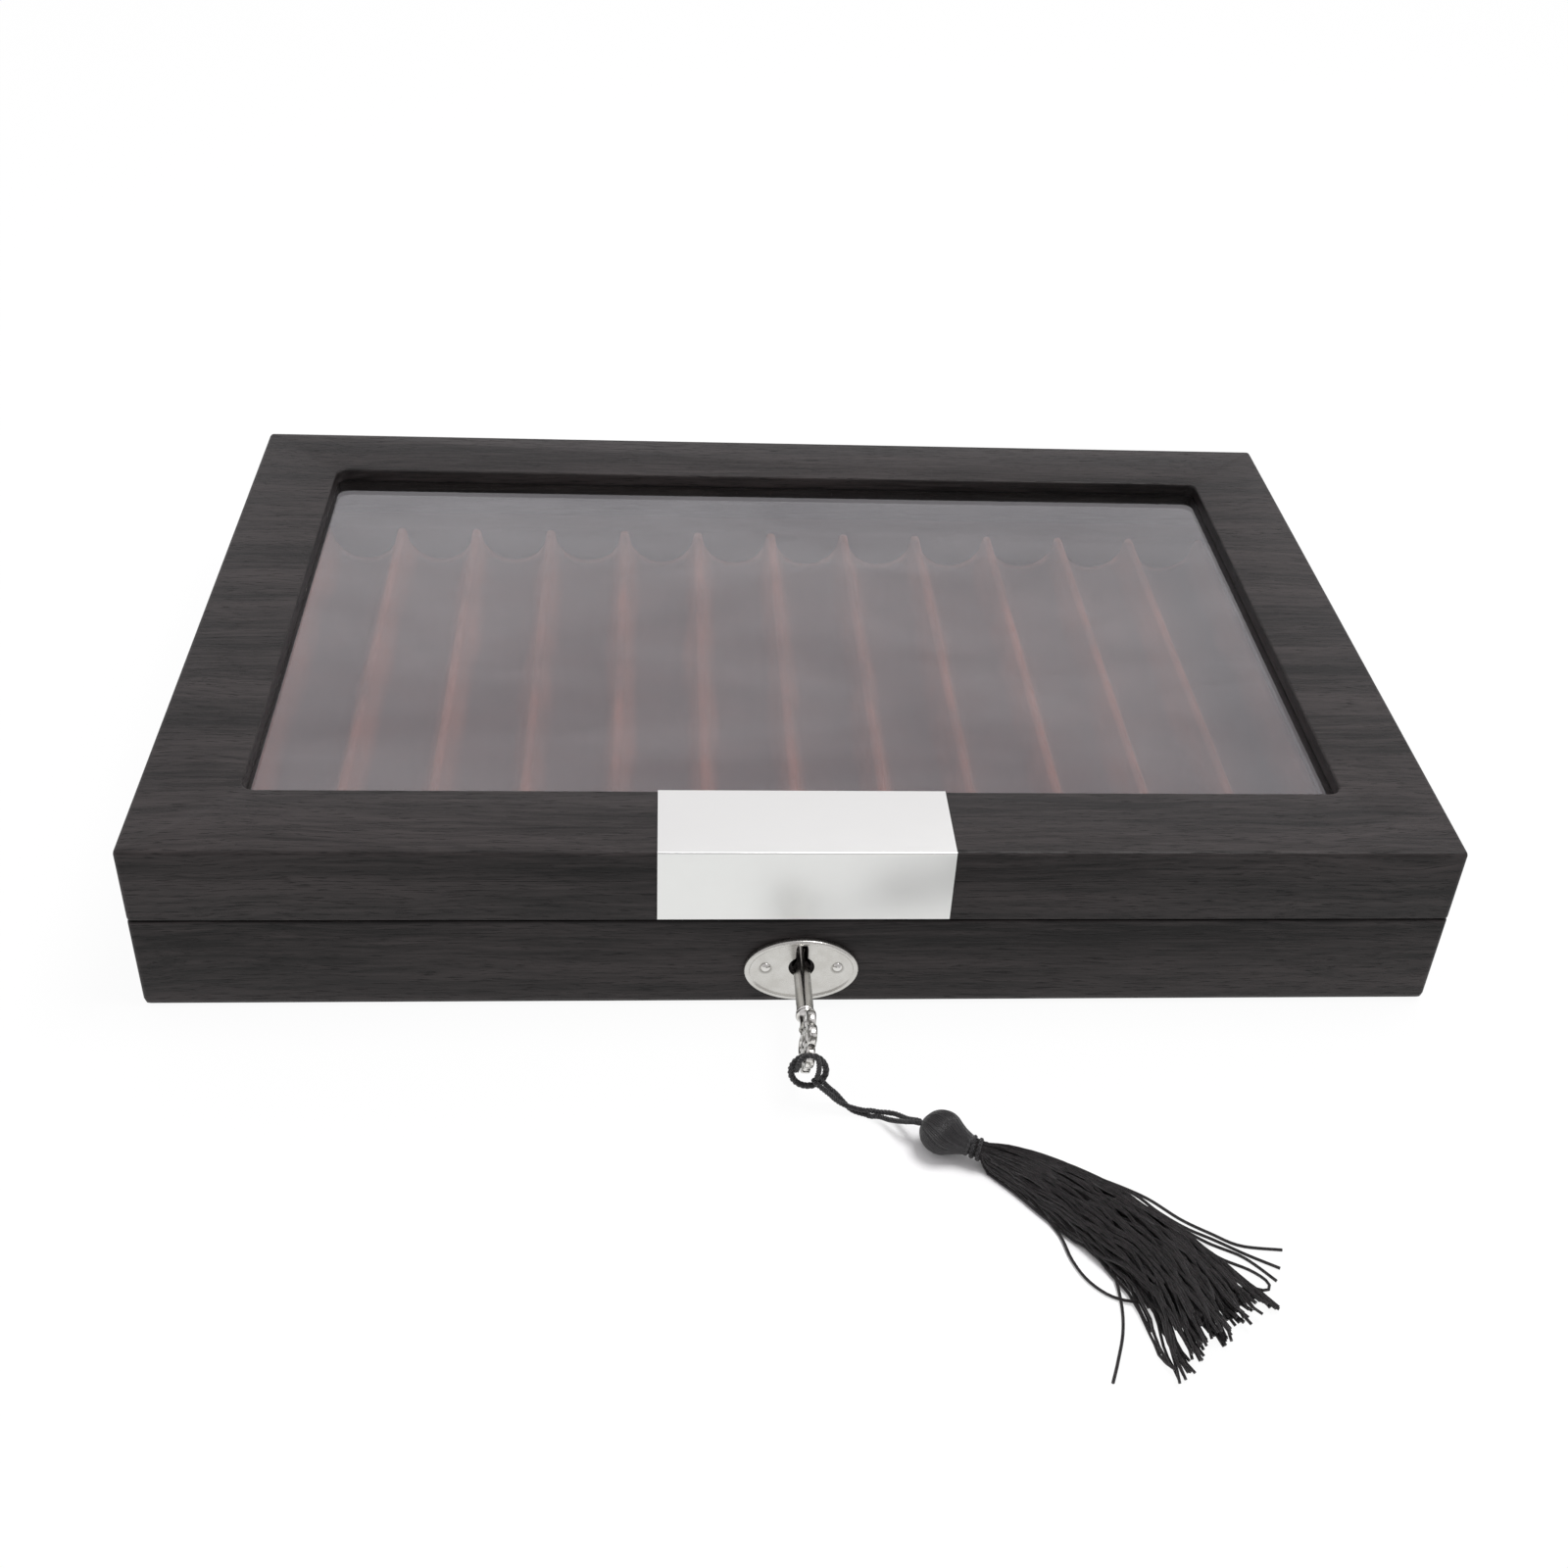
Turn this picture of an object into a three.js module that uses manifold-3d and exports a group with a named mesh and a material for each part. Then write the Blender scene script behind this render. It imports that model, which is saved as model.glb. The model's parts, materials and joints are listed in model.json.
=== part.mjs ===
// A wooden pen display case with a glazed lid, a box lock, and a key with a tassel on it.
// Millimetres, +Z up. The origin is the centre of the underside, and the lock faces -Y.
import * as THREE from "three";
import { mergeVertices } from "three/addons/utils/BufferGeometryUtils.js";
import Module from "manifold-3d";

const wasm = await Module();
wasm.setup();

// The wooden case
const caseWidth = 340;
const caseDepth = 228;
const baseHeight = 29;
const seamGap = 0.3;
const lidHeight = 22;
const wallThickness = 12;
const cornerRadius = 1.4;
const topEdgeRadius = 1.2;
const footEdgeRadius = 2.75;
const seamEdgeRadius = 0.6;
const glueLine = 0.04;
const inlayClearance = 0.15;
const looseClearance = 0.3;
// How far a cutting tool runs past the face that it opens, and how far joined pieces run into each other
const toolRun = 1;
const jointBite = 0.5;

// The bottom board and the felt under it
const feltThickness = 1.2;
const boardThickness = 4;
const boardRebate = 4;

// The glazed top
const topFrameThickness = 9;
const railWidth = 26;
const windowCornerRadius = 3.5;
const windowEdgeRadius = 0.7;
const glassDepth = 4;
const glassThickness = 2;
const glassLap = 4.5;

// The grooved tray
const grooveCount = 12;
const ridgeWidth = 3;
const trayDrop = 1.3;
const trayFloor = 10.8;
const traySideBar = 5.9;
const trayEndBar = 11.4;

// The bent nameplate
const nameplateWidth = 75;
const nameplateThickness = 0.6;
const nameplateDrop = 21;
const nameplateBend = 0.5;

// The box lock
const lockOffset = -0.6;
const keyAxisDrop = 14.6;
const lockFootGap = 1.3;
const lockDepth = 7;
const lockFrontWood = 4;
const lockSheet = 0.8;
const backPlateEar = 4.5;
const backPlateThickness = 1;
const keyholeSlotWidth = 3;
const keyholeSlotHeight = 7.7;

// The bolt and the link plate that it enters
const boltTravel = 5;
const boltThickness = 1.6;
const boltSetBack = 3.5;
const boltBarBottom = 3;
const boltBarTop = 7.2;
const fingerBottom = 9.5;
const fingerTop = 11.7;
const riserWidth = 2;
const talonHalfGap = 3.1;
const talonDepth = 1.2;
const talonReach = 2.3;
const talonWidth = 1.6;
const guidePinRadius = 1;
const guideSlotEdge = 1.2;
const stapleSpacing = 18;
const stapleThickness = 1.8;
const stapleWidth = 3.8;
const stapleLength = 7.5;
const stapleEyeWidth = 2.4;
const stapleEyeRoom = 0.5;
const stapleSwingRoom = 0.45;
const linkPlateThickness = 1.2;
const linkPlateMargin = 1.9;

// The oval keyhole plate
const ovalWidth = 30;
const ovalHeight = 20.5;
const ovalDrop = 1;
const ovalThickness = 1.8;
const ovalRim = 1.6;
const ovalDish = 0.5;
const ovalBevel = 0.4;
const ovalHoleRadius = 3.3;
const ovalPinSpacing = 18.8;
const ovalPinHeadRadius = 1.4;
const ovalPinHeadHeight = 0.8;
const ovalPinRadius = 0.9;
const ovalPinLength = 3.4;

// Screws
const screwHeadRadius = 1.75;
const screwRadius = 0.9;
const screwHeadDepth = 0.85;
const screwLength = 7;
const screwClearance = 0.1;

// The stop hinges
const hingeInset = 65;
const hingeLength = 30;
const hingeLeafThickness = 1;
const hingeLeafDepth = 10;
const hingeScrewInset = 3.85;
const barrelRadius = 2.2;
const hingePinRadius = 1;
const hingePinHeadRadius = 1.7;
const hingePinHead = 0.6;
const knuckleLength = 10;
const lidOpening = 96;
const stopSlack = 5;
const stopSpread = 20;
const stopRadius = 4.2;

// The key
const shankRadius = 2.2;
const keyReach = 20.6;
const bitHeight = 7.3;
const bitWidth = 2.4;
const bitThickness = 2;
const bowLobeCount = 6;
const bowLobeRadius = 3.1;
const bowLobeCircle = 5;
const bowThickness = 2.4;
// How far the bow leans to the right from upright, in degrees
const bowLean = 10;
const bowHoleRadius = 1.7;
const keyBeadRadius = 2.4;
const keyBeadLength = 0.9;
const keyCollarRadius = 2.55;
const keyCollarLength = 1.2;
const keyCollarSetBack = 0.6;
const keyNeckRadius = 1.6;

// The loop of cord through the bow
const loopRadius = 4.35;
const loopCordRadius = 0.85;
const loopTilt = 78;

// The tassel
const cordRadius = 1.2;
const cordRoute = [
  [3.7, -149.6, 6.8],
  [5.6, -150.7, 4.7],
  [7.6, -151.8, 2.8],
  [9.7, -152.9, 1.7],
  [11.8, -153.8, 1.3],
  [14.0, -154.5, 1.3],
  [16.2, -155.0, 1.4],
  [18.3, -155.7, 1.7],
  [20.2, -156.9, 2.3],
  [21.9, -158.6, 3.3],
  [23.4, -160.2, 4.5],
  [24.6, -161.3, 5.5],
  [25.7, -162.1, 6.0],
];
const headCentre = [31.2, -165.4, 5.75];
const headRadius = 5.7;
const headFlat = 0.5;
const tasselTurn = -27.7;
const tasselDip = 7;
const neckRadius = 2.9;
const neckLength = 6;
const bindingRadius = 0.55;
const bindingTurns = 3;
const skirtSpine = [
  [41.9, -171.0],
  [50.0, -177.3],
  [61.2, -186.0],
  [71.0, -196.3],
  [79.5, -206.8],
  [88.5, -220.3],
];
const skirtStartHalfWidth = 3.2;
const skirtSwell = 8.8;
const skirtSwellRate = 4.5;
const skirtFlare = 8;
const skirtFlarePower = 4;
const skirtHeight = 6.4;
const skirtCrown = 3.6;
const skirtTaper = 0.6;
// How high the section's middle stands, as a share of half its height: under 1 leaves a flat underside
const skirtSink = 0.9;
const skirtFlutes = 16;
const skirtFluteDepth = 0.05;
const skirtRaggedness = 2.5;
const skirtRaggedWaves = 5;
const skirtRaggedDrift = 3;

// Finishes
const woodBlack = new THREE.Color(0x2b2727);
const finishes = {
  veneer: { color: woodBlack, roughness: 0.5, metalness: 0 },
  suede: { color: 0x4a2420, roughness: 0.95, metalness: 0 },
  felt: { color: 0x1a1818, roughness: 1, metalness: 0 },
  board: { color: 0x6b5238, roughness: 0.8, metalness: 0 },
  glass: { color: 0xdfe6e8, roughness: 0.05, metalness: 0, transparent: true, opacity: 0.3 },
  satinSteel: { color: 0xdcdcd8, roughness: 0.35, metalness: 1 },
  brightNickel: { color: 0xd8d8d2, roughness: 0.18, metalness: 1 },
  thread: { color: 0x121114, roughness: 0.6, metalness: 0 },
};

// Derived places
const halfWidth = caseWidth / 2;
const halfDepth = caseDepth / 2;
const innerHalfWidth = halfWidth - wallThickness;
const innerHalfDepth = halfDepth - wallThickness;
const lidBottom = baseHeight + seamGap;
const topFrameBottom = lidHeight - topFrameThickness;
const windowHalfWidth = halfWidth - railWidth;
const windowHalfDepth = halfDepth - railWidth;
const boardTop = feltThickness + boardThickness;
const keyAxisHeight = baseHeight - keyAxisDrop;
const lockBottom = boardTop + lockFootGap;
const trayTop = baseHeight - trayDrop;
const trayHalfWidth = innerHalfWidth - 2 * looseClearance - traySideBar;
const trayHalfLength = innerHalfDepth - 2 * looseClearance - trayEndBar;
const groovePitch = (2 * trayHalfWidth - ridgeWidth) / grooveCount;
const trayGrooveDepth = trayTop - ridgeWidth / 2 - boardTop - trayFloor;
const mortiseFront = -halfDepth + lockFrontWood;
const innerFace = -innerHalfDepth;
const boltCentre = innerFace - boltSetBack - glueLine;
const headEnd = headRadius - headFlat;
const neckStart = headEnd + looseClearance;

// Joining and cutting

function solidOf(geometry) {
  const bare = geometry.clone();
  bare.deleteAttribute("normal");
  bare.deleteAttribute("uv");
  const merged = mergeVertices(bare);
  const vertProperties = merged.attributes.position.array;
  const triVerts = new Uint32Array(merged.index.array);
  return new wasm.Manifold(new wasm.Mesh({ numProp: 3, vertProperties, triVerts }));
}

function geometryOf(solid) {
  const mesh = solid.getMesh();
  const geometry = new THREE.BufferGeometry();
  geometry.setAttribute("position", new THREE.BufferAttribute(mesh.vertProperties, 3));
  geometry.setIndex(new THREE.BufferAttribute(mesh.triVerts, 1));
  const faceted = geometry.toNonIndexed();
  faceted.computeVertexNormals();
  return faceted;
}

function joined(geometries) {
  return geometries.map(solidOf).reduce((whole, next) => whole.add(next));
}

function cut(whole, tools) {
  return tools.map(solidOf).reduce((left, tool) => left.subtract(tool), whole);
}

function addPiece(group, name, shape, finish) {
  const geometry = shape.isBufferGeometry ? shape : geometryOf(shape);
  const mesh = new THREE.Mesh(geometry, new THREE.MeshStandardMaterial(finishes[finish]));
  mesh.name = name;
  group.add(mesh);
  return mesh;
}

// Basic forms

function block(x0, x1, y0, y1, z0, z1) {
  const geometry = new THREE.BoxGeometry(x1 - x0, y1 - y0, z1 - z0);
  geometry.translate((x0 + x1) / 2, (y0 + y1) / 2, (z0 + z1) / 2);
  return geometry;
}

function alongZ(shape, z0, z1, curveSegments = 8) {
  const settings = { depth: z1 - z0, bevelEnabled: false, curveSegments };
  const geometry = new THREE.ExtrudeGeometry(shape, settings);
  geometry.translate(0, 0, z0);
  return geometry;
}

// The outline's x and y become the part's x and z.
function alongY(shape, y0, y1, curveSegments = 8) {
  const geometry = alongZ(shape, 0, y1 - y0, curveSegments);
  geometry.rotateX(Math.PI / 2);
  geometry.translate(0, y1, 0);
  return geometry;
}

// The outline's x and y become the part's y and z.
function alongX(shape, x0, x1, curveSegments = 8) {
  const geometry = alongZ(shape, 0, x1 - x0, curveSegments);
  geometry.rotateX(Math.PI / 2);
  geometry.rotateZ(Math.PI / 2);
  geometry.translate(x0, 0, 0);
  return geometry;
}

// A profile of [radius, height] pairs from the lower end to the upper one, turned about Z.
function turned(profile, segments) {
  const points = profile.map(([radius, height]) => new THREE.Vector2(radius, height));
  const geometry = new THREE.LatheGeometry(points, segments);
  geometry.rotateX(Math.PI / 2);
  return geometry;
}

function rodAlongY(radius, x, z, y0, y1, segments = 16) {
  const geometry = turned([[0, -y1], [radius, -y1], [radius, -y0], [0, -y0]], segments);
  geometry.rotateX(Math.PI / 2);
  geometry.translate(x, 0, z);
  return geometry;
}

function rodAlongX(radius, y, z, x0, x1, segments = 16) {
  const geometry = turned([[0, x0], [radius, x0], [radius, x1], [0, x1]], segments);
  geometry.rotateY(Math.PI / 2);
  geometry.translate(0, y, z);
  return geometry;
}

function ellipse(halfAcross, halfUp, x = 0, y = 0) {
  const shape = new THREE.Shape();
  shape.absellipse(x, y, halfAcross, halfUp, 0, 2 * Math.PI);
  return shape;
}

function polygon(points) {
  return new THREE.Shape(points.map(([x, y]) => new THREE.Vector2(x, y)));
}

// Rings of equally many points, each anticlockwise about the way the stack runs, joined into a closed skin
function stack(rings) {
  const count = rings[0].length;
  const points = rings.flat();
  const last = points.length - count;
  const middle = (ring) => {
    const sum = ring.reduce((total, point) => total.add(point), new THREE.Vector3());
    return sum.divideScalar(count);
  };
  points.push(middle(rings[0]), middle(rings[rings.length - 1]));
  const faces = [];
  for (let i = 0; i < count; i++) {
    const j = (i + 1) % count;
    for (let start = 0; start < last; start += count) {
      faces.push(start + i, start + j, start + count + j);
      faces.push(start + i, start + count + j, start + count + i);
    }
    faces.push(points.length - 2, j, i);
    faces.push(points.length - 1, last + i, last + j);
  }
  const geometry = new THREE.BufferGeometry().setFromPoints(points);
  geometry.setIndex(faces);
  return geometry;
}

function roundedRing(halfX, halfY, radius, z, steps = 4) {
  const points = [];
  const corners = [[1, 1], [-1, 1], [-1, -1], [1, -1]];
  corners.forEach(([sideX, sideY], quarter) => {
    for (let step = 0; step <= steps; step++) {
      const angle = (quarter + step / steps) * (Math.PI / 2);
      const x = sideX * (halfX - radius) + radius * Math.cos(angle);
      const y = sideY * (halfY - radius) + radius * Math.sin(angle);
      points.push(new THREE.Vector3(x, y, z));
    }
  });
  return points;
}

// A block with round upright corners and round lower and upper edges.
function roundedBlock(halfX, halfY, radius, z0, z1, lowerEdge, upperEdge) {
  const sharpest = 0.05;
  const edgeRings = (edge, z, outward) => {
    const steps = edge > 0 ? 3 : 0;
    return Array.from({ length: steps + 1 }, (_, step) => {
      const turn = steps ? (step / steps) * (Math.PI / 2) : Math.PI / 2;
      const inset = edge * (1 - Math.sin(turn));
      const corner = Math.max(radius - inset, sharpest);
      return roundedRing(halfX - inset, halfY - inset, corner, z + outward * edge * Math.cos(turn));
    });
  };
  const lower = edgeRings(lowerEdge, z0 + lowerEdge, -1);
  const upper = edgeRings(upperEdge, z1 - upperEdge, 1).reverse();
  return stack([...lower, ...upper]);
}

// A countersunk screw from its point up to its head, which is flush with z = 0
const screwSegments = 12;

function screwProfile(extra) {
  return [
    [0, -screwLength - extra],
    [screwRadius + extra, -screwLength + screwRadius],
    [screwRadius + extra, -screwHeadDepth],
    [screwHeadRadius + extra, 0],
  ];
}

function screwSolid() {
  return turned([...screwProfile(0), [0, 0]], screwSegments);
}

function screwHole() {
  const overHead = [
    [screwHeadRadius + screwClearance, toolRun],
    [0, toolRun],
  ];
  return turned([...screwProfile(screwClearance), ...overHead], screwSegments);
}

// Four mitred walls round the case

function wallWedge(side) {
  const beyond = 2 * toolRun;
  const inside = wallThickness + beyond;
  const gap = glueLine * Math.SQRT1_2;
  const alongFront = (sign) => [
    [-halfWidth - beyond + gap, sign * (halfDepth + beyond)],
    [halfWidth + beyond - gap, sign * (halfDepth + beyond)],
    [halfWidth - inside - gap, sign * (halfDepth - inside)],
    [-halfWidth + inside + gap, sign * (halfDepth - inside)],
  ];
  const alongSide = (sign) => [
    [sign * (halfWidth + beyond), -halfDepth - beyond + gap],
    [sign * (halfWidth + beyond), halfDepth + beyond - gap],
    [sign * (halfWidth - inside), halfDepth - inside - gap],
    [sign * (halfWidth - inside), -halfDepth + inside + gap],
  ];
  const outlines = {
    front: alongFront(-1),
    back: alongFront(1),
    left: alongSide(-1),
    right: alongSide(1),
  };
  return solidOf(alongZ(polygon(outlines[side]), -baseHeight, baseHeight + lidHeight));
}

function wallRing(height, lowerEdge, upperEdge) {
  const outside = roundedBlock(halfWidth, halfDepth, cornerRadius, 0, height, lowerEdge, upperEdge);
  const hollow = block(
    -innerHalfWidth,
    innerHalfWidth,
    -innerHalfDepth,
    innerHalfDepth,
    -toolRun,
    height + toolRun,
  );
  return cut(solidOf(outside), [hollow]);
}

// The lock's own places, measured from the key's axis

const stapleOffset = stapleSpacing / 2;
const fingerRest = looseClearance + stapleThickness / 2;
const leftFingerTip = -stapleOffset - fingerRest;
const rightFingerTip = stapleOffset - fingerRest;
const fingerLength = boltTravel + looseClearance - glueLine;
const boltLeftEnd = leftFingerTip - fingerLength - riserWidth;
const boltRightEnd = talonHalfGap + talonWidth + looseClearance;
const lockWidth = 2 * (looseClearance + lockSheet - boltLeftEnd);
const backPlateWidth = lockWidth + 2 * backPlateEar;
const linkPlateLength = lockWidth;
const guideHeight = (boltBarBottom + boltBarTop) / 2;
const guideSlotRadius = guidePinRadius + looseClearance;
const guideInset = guideSlotEdge + guideSlotRadius;
const guidePlaces = [boltLeftEnd + guideInset + guideSlotRadius + boltTravel, boltRightEnd - guideInset];
const backPlateScrewOffset = (lockWidth + backPlateWidth) / 4;
const linkScrewOffset = (stapleOffset + stapleThickness / 2 + linkPlateLength / 2) / 2;

function keyholeShape(radius, slotWidth, slotHeight) {
  const start = Math.asin(slotWidth / 2 / radius);
  const shape = new THREE.Shape();
  shape.absarc(0, 0, radius, Math.PI / 2 + start, Math.PI / 2 - start + 2 * Math.PI);
  shape.lineTo(slotWidth / 2, slotHeight);
  shape.lineTo(-slotWidth / 2, slotHeight);
  shape.closePath();
  return shape;
}

function keyhole(radius, y0, y1) {
  const geometry = alongY(keyholeShape(radius, keyholeSlotWidth, keyholeSlotHeight), y0, y1);
  geometry.translate(lockOffset, 0, keyAxisHeight);
  return geometry;
}

const guideHoleRadius = shankRadius + looseClearance;

function ovalPinHole(offset) {
  const radius = ovalPinRadius + screwClearance;
  const start = -halfDepth - ovalThickness - toolRun;
  const end = -halfDepth + ovalPinLength + screwClearance;
  return rodAlongY(radius, lockOffset + offset, keyAxisHeight, start, end, screwSegments);
}

function backPlateScrewPlace(geometry, offset) {
  geometry.rotateX(-Math.PI / 2);
  geometry.translate(lockOffset + offset, innerFace, keyAxisHeight);
  return geometry;
}

function lockMortise() {
  const side = lockWidth / 2 + inlayClearance;
  const plateSide = backPlateWidth / 2 + inlayClearance;
  const low = lockBottom - inlayClearance;
  const high = baseHeight + toolRun;
  const back = innerFace + toolRun;
  const plateFace = innerFace - backPlateThickness - glueLine;
  return [
    block(lockOffset - side, lockOffset + side, mortiseFront - glueLine, back, low, high),
    block(lockOffset - plateSide, lockOffset + plateSide, plateFace, back, low, high),
    keyhole(guideHoleRadius, -halfDepth - toolRun, mortiseFront + toolRun),
    ...[-1, 1].map((side) => ovalPinHole((side * ovalPinSpacing) / 2)),
    ...[-1, 1].map((side) => backPlateScrewPlace(screwHole(), side * backPlateScrewOffset)),
  ];
}

// Stop hinges: leaves let into the rims, knuckles behind the case

const hingeY = halfDepth + barrelRadius + looseClearance;
const hingeZ = baseHeight + seamGap / 2;
const leafInner = halfDepth - hingeLeafDepth;
const hingeScrewOffset = hingeLength / 2 - hingeScrewInset;
const hingeScrewY = leafInner + hingeLeafDepth / 2;
const hingePlaces = { left: -halfWidth + hingeInset, right: halfWidth - hingeInset };

function hingeMortise(x, z0, z1) {
  const side = hingeLength / 2 + inlayClearance;
  return block(x - side, x + side, leafInner - inlayClearance, halfDepth + toolRun, z0, z1);
}

function hingeScrewPlace(geometry, x, z, upsideDown) {
  if (upsideDown) {
    geometry.rotateX(Math.PI);
  }
  geometry.translate(x, hingeScrewY, z);
  return geometry;
}

function hingeScrewXs() {
  return Object.values(hingePlaces).flatMap((x) => [x - hingeScrewOffset, x + hingeScrewOffset]);
}

// A flange of the stop, as a sector behind the barrel between two angles from the level.
function stopFlange(from, to, x0, x1, innerRadius) {
  const steps = 3;
  const turns = Array.from({ length: steps + 1 }, (_, step) => from + ((to - from) * step) / steps);
  const arc = (radius) =>
    turns.map((turn) => {
      const angle = THREE.MathUtils.degToRad(turn);
      return [radius * Math.cos(angle), radius * Math.sin(angle)];
    });
  return alongX(polygon([...arc(stopRadius), ...arc(innerRadius).reverse()]), x0, x1);
}

// In hinge space the origin is the pin's middle. The upper leaf belongs to the lid.
function hingeLeaf(upper) {
  const sign = upper ? 1 : -1;
  const near = (sign * seamGap) / 2;
  const far = sign * (seamGap / 2 + hingeLeafThickness);
  const low = Math.min(near, far);
  const high = Math.max(near, far);
  const half = hingeLength / 2;
  const middle = knuckleLength / 2 - looseClearance / 2;
  const outer = knuckleLength / 2 + looseClearance / 2;
  const spans = upper ? [[-middle, middle]] : [[-half, -outer], [outer, half]];
  const leafEnd = -barrelRadius - looseClearance;
  const intoKnuckle = -(barrelRadius + hingePinRadius) / 2;
  const angles = [lidOpening / 2 + stopSlack / 2, lidOpening / 2 + stopSlack / 2 + stopSpread];
  const [from, to] = upper ? angles : [-angles[1], -angles[0]];
  const parts = [
    block(-half, half, leafInner - hingeY, leafEnd, low, high),
    stopFlange(from, to, -half, half, barrelRadius + looseClearance),
    ...spans.flatMap(([x0, x1]) => [
      rodAlongX(barrelRadius, 0, 0, x0, x1),
      block(x0, x1, leafEnd - jointBite, intoKnuckle, low, high),
      stopFlange(from, to, x0, x1, -intoKnuckle),
    ]),
  ];
  const holes = [-hingeScrewOffset, hingeScrewOffset].map((x) => {
    const hole = screwHole();
    if (upper) {
      hole.rotateX(Math.PI);
    }
    hole.translate(x, hingeScrewY - hingeY, near);
    return hole;
  });
  const bore = rodAlongX(hingePinRadius + looseClearance, 0, 0, -half - toolRun, half + toolRun);
  return cut(joined(parts), [bore, ...holes]);
}

function hingePin() {
  const half = hingeLength / 2 + looseClearance;
  const end = half + hingePinHead;
  const profile = [
    [0, -end],
    [hingePinHeadRadius, -end],
    [hingePinHeadRadius, -half],
    [hingePinRadius, -half],
    [hingePinRadius, half],
    [hingePinHeadRadius, half],
    [hingePinHeadRadius, end],
    [0, end],
  ];
  const pin = turned(profile, 16);
  pin.rotateY(Math.PI / 2);
  return pin;
}

// The base

function buildBase() {
  const base = new THREE.Group();
  const rebateX = innerHalfWidth + boardRebate;
  const rebateY = innerHalfDepth + boardRebate;
  const rebate = block(-rebateX, rebateX, -rebateY, rebateY, -toolRun, boardTop + glueLine);
  const hingeTop = baseHeight - hingeLeafThickness - glueLine;
  const cuts = {
    front: lockMortise(),
    back: [
      ...Object.values(hingePlaces).map((x) => hingeMortise(x, hingeTop, baseHeight + toolRun)),
      ...hingeScrewXs().map((x) => hingeScrewPlace(screwHole(), x, baseHeight, false)),
    ],
    left: [],
    right: [],
  };
  const ring = cut(wallRing(baseHeight, footEdgeRadius, seamEdgeRadius), [rebate]);
  for (const side of Object.keys(cuts)) {
    addPiece(base, `base_${side}_wall`, cut(ring.intersect(wallWedge(side)), cuts[side]), "veneer");
  }
  const boardX = rebateX - inlayClearance;
  const boardY = rebateY - inlayClearance;
  addPiece(base, "base_felt", block(-boardX, boardX, -boardY, boardY, 0, feltThickness), "felt");
  const board = block(-boardX, boardX, -boardY, boardY, feltThickness + glueLine, boardTop);
  addPiece(base, "base_panel", board, "board");
  buildTray(base);
  buildLock(base);
  for (const [side, x] of Object.entries(hingePlaces)) {
    const leaf = addPiece(base, `hinge_${side}_base_leaf`, hingeLeaf(false), "brightNickel");
    leaf.position.set(x, hingeY, hingeZ);
    const pin = addPiece(base, `hinge_${side}_pin`, hingePin(), "brightNickel");
    pin.position.set(x, hingeY, hingeZ);
    [-1, 1].forEach((end) => {
      const name = `hinge_${side}_base_screw_${end < 0 ? "left" : "right"}`;
      const screw = addPiece(base, name, screwSolid(), "brightNickel");
      screw.position.set(x + end * hingeScrewOffset, hingeScrewY, baseHeight);
    });
  }
  return base;
}

// The tray's section: half-round grooves with a round crown on each ridge between them
function traySection() {
  const crown = ridgeWidth / 2;
  const grooveRadius = groovePitch / 2 - crown;
  const crownHeight = trayTop - crown;
  const half = (grooveCount * groovePitch) / 2;
  const floor = boardTop + glueLine;
  const shape = new THREE.Shape();
  shape.moveTo(half + crown, floor);
  shape.lineTo(half + crown, crownHeight);
  for (let groove = grooveCount; groove >= 0; groove--) {
    const ridgeX = groove * groovePitch - half;
    shape.absarc(ridgeX, crownHeight, crown, 0, Math.PI, false);
    if (groove > 0) {
      const grooveX = ridgeX - groovePitch / 2;
      shape.absellipse(grooveX, crownHeight, grooveRadius, trayGrooveDepth, 0, -Math.PI, true);
    }
  }
  shape.lineTo(-half - crown, floor);
  shape.closePath();
  return shape;
}

function buildTray(base) {
  const floor = boardTop + glueLine;
  const wallX = innerHalfWidth - looseClearance;
  const wallY = innerHalfDepth - looseClearance;
  const barEdge = 1;
  const curve = 4;
  addPiece(base, "pen_tray", alongY(traySection(), -trayHalfLength, trayHalfLength, curve), "suede");
  const bar = (x0, x1, y0, y1) => {
    const geometry = roundedBlock((x1 - x0) / 2, (y1 - y0) / 2, barEdge, floor, trayTop, glueLine, barEdge);
    geometry.translate((x0 + x1) / 2, (y0 + y1) / 2, 0);
    return geometry;
  };
  const endStart = trayHalfLength + looseClearance;
  const sideStart = trayHalfWidth + looseClearance;
  addPiece(base, "tray_front_bar", bar(-wallX, wallX, -wallY, -endStart), "suede");
  addPiece(base, "tray_back_bar", bar(-wallX, wallX, endStart, wallY), "suede");
  addPiece(base, "tray_left_bar", bar(-wallX, -sideStart, -trayHalfLength, trayHalfLength), "suede");
  addPiece(base, "tray_right_bar", bar(sideStart, wallX, -trayHalfLength, trayHalfLength), "suede");
}

// The lock's fixed pieces: box, back plate, screws and the oval plate outside

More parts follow.
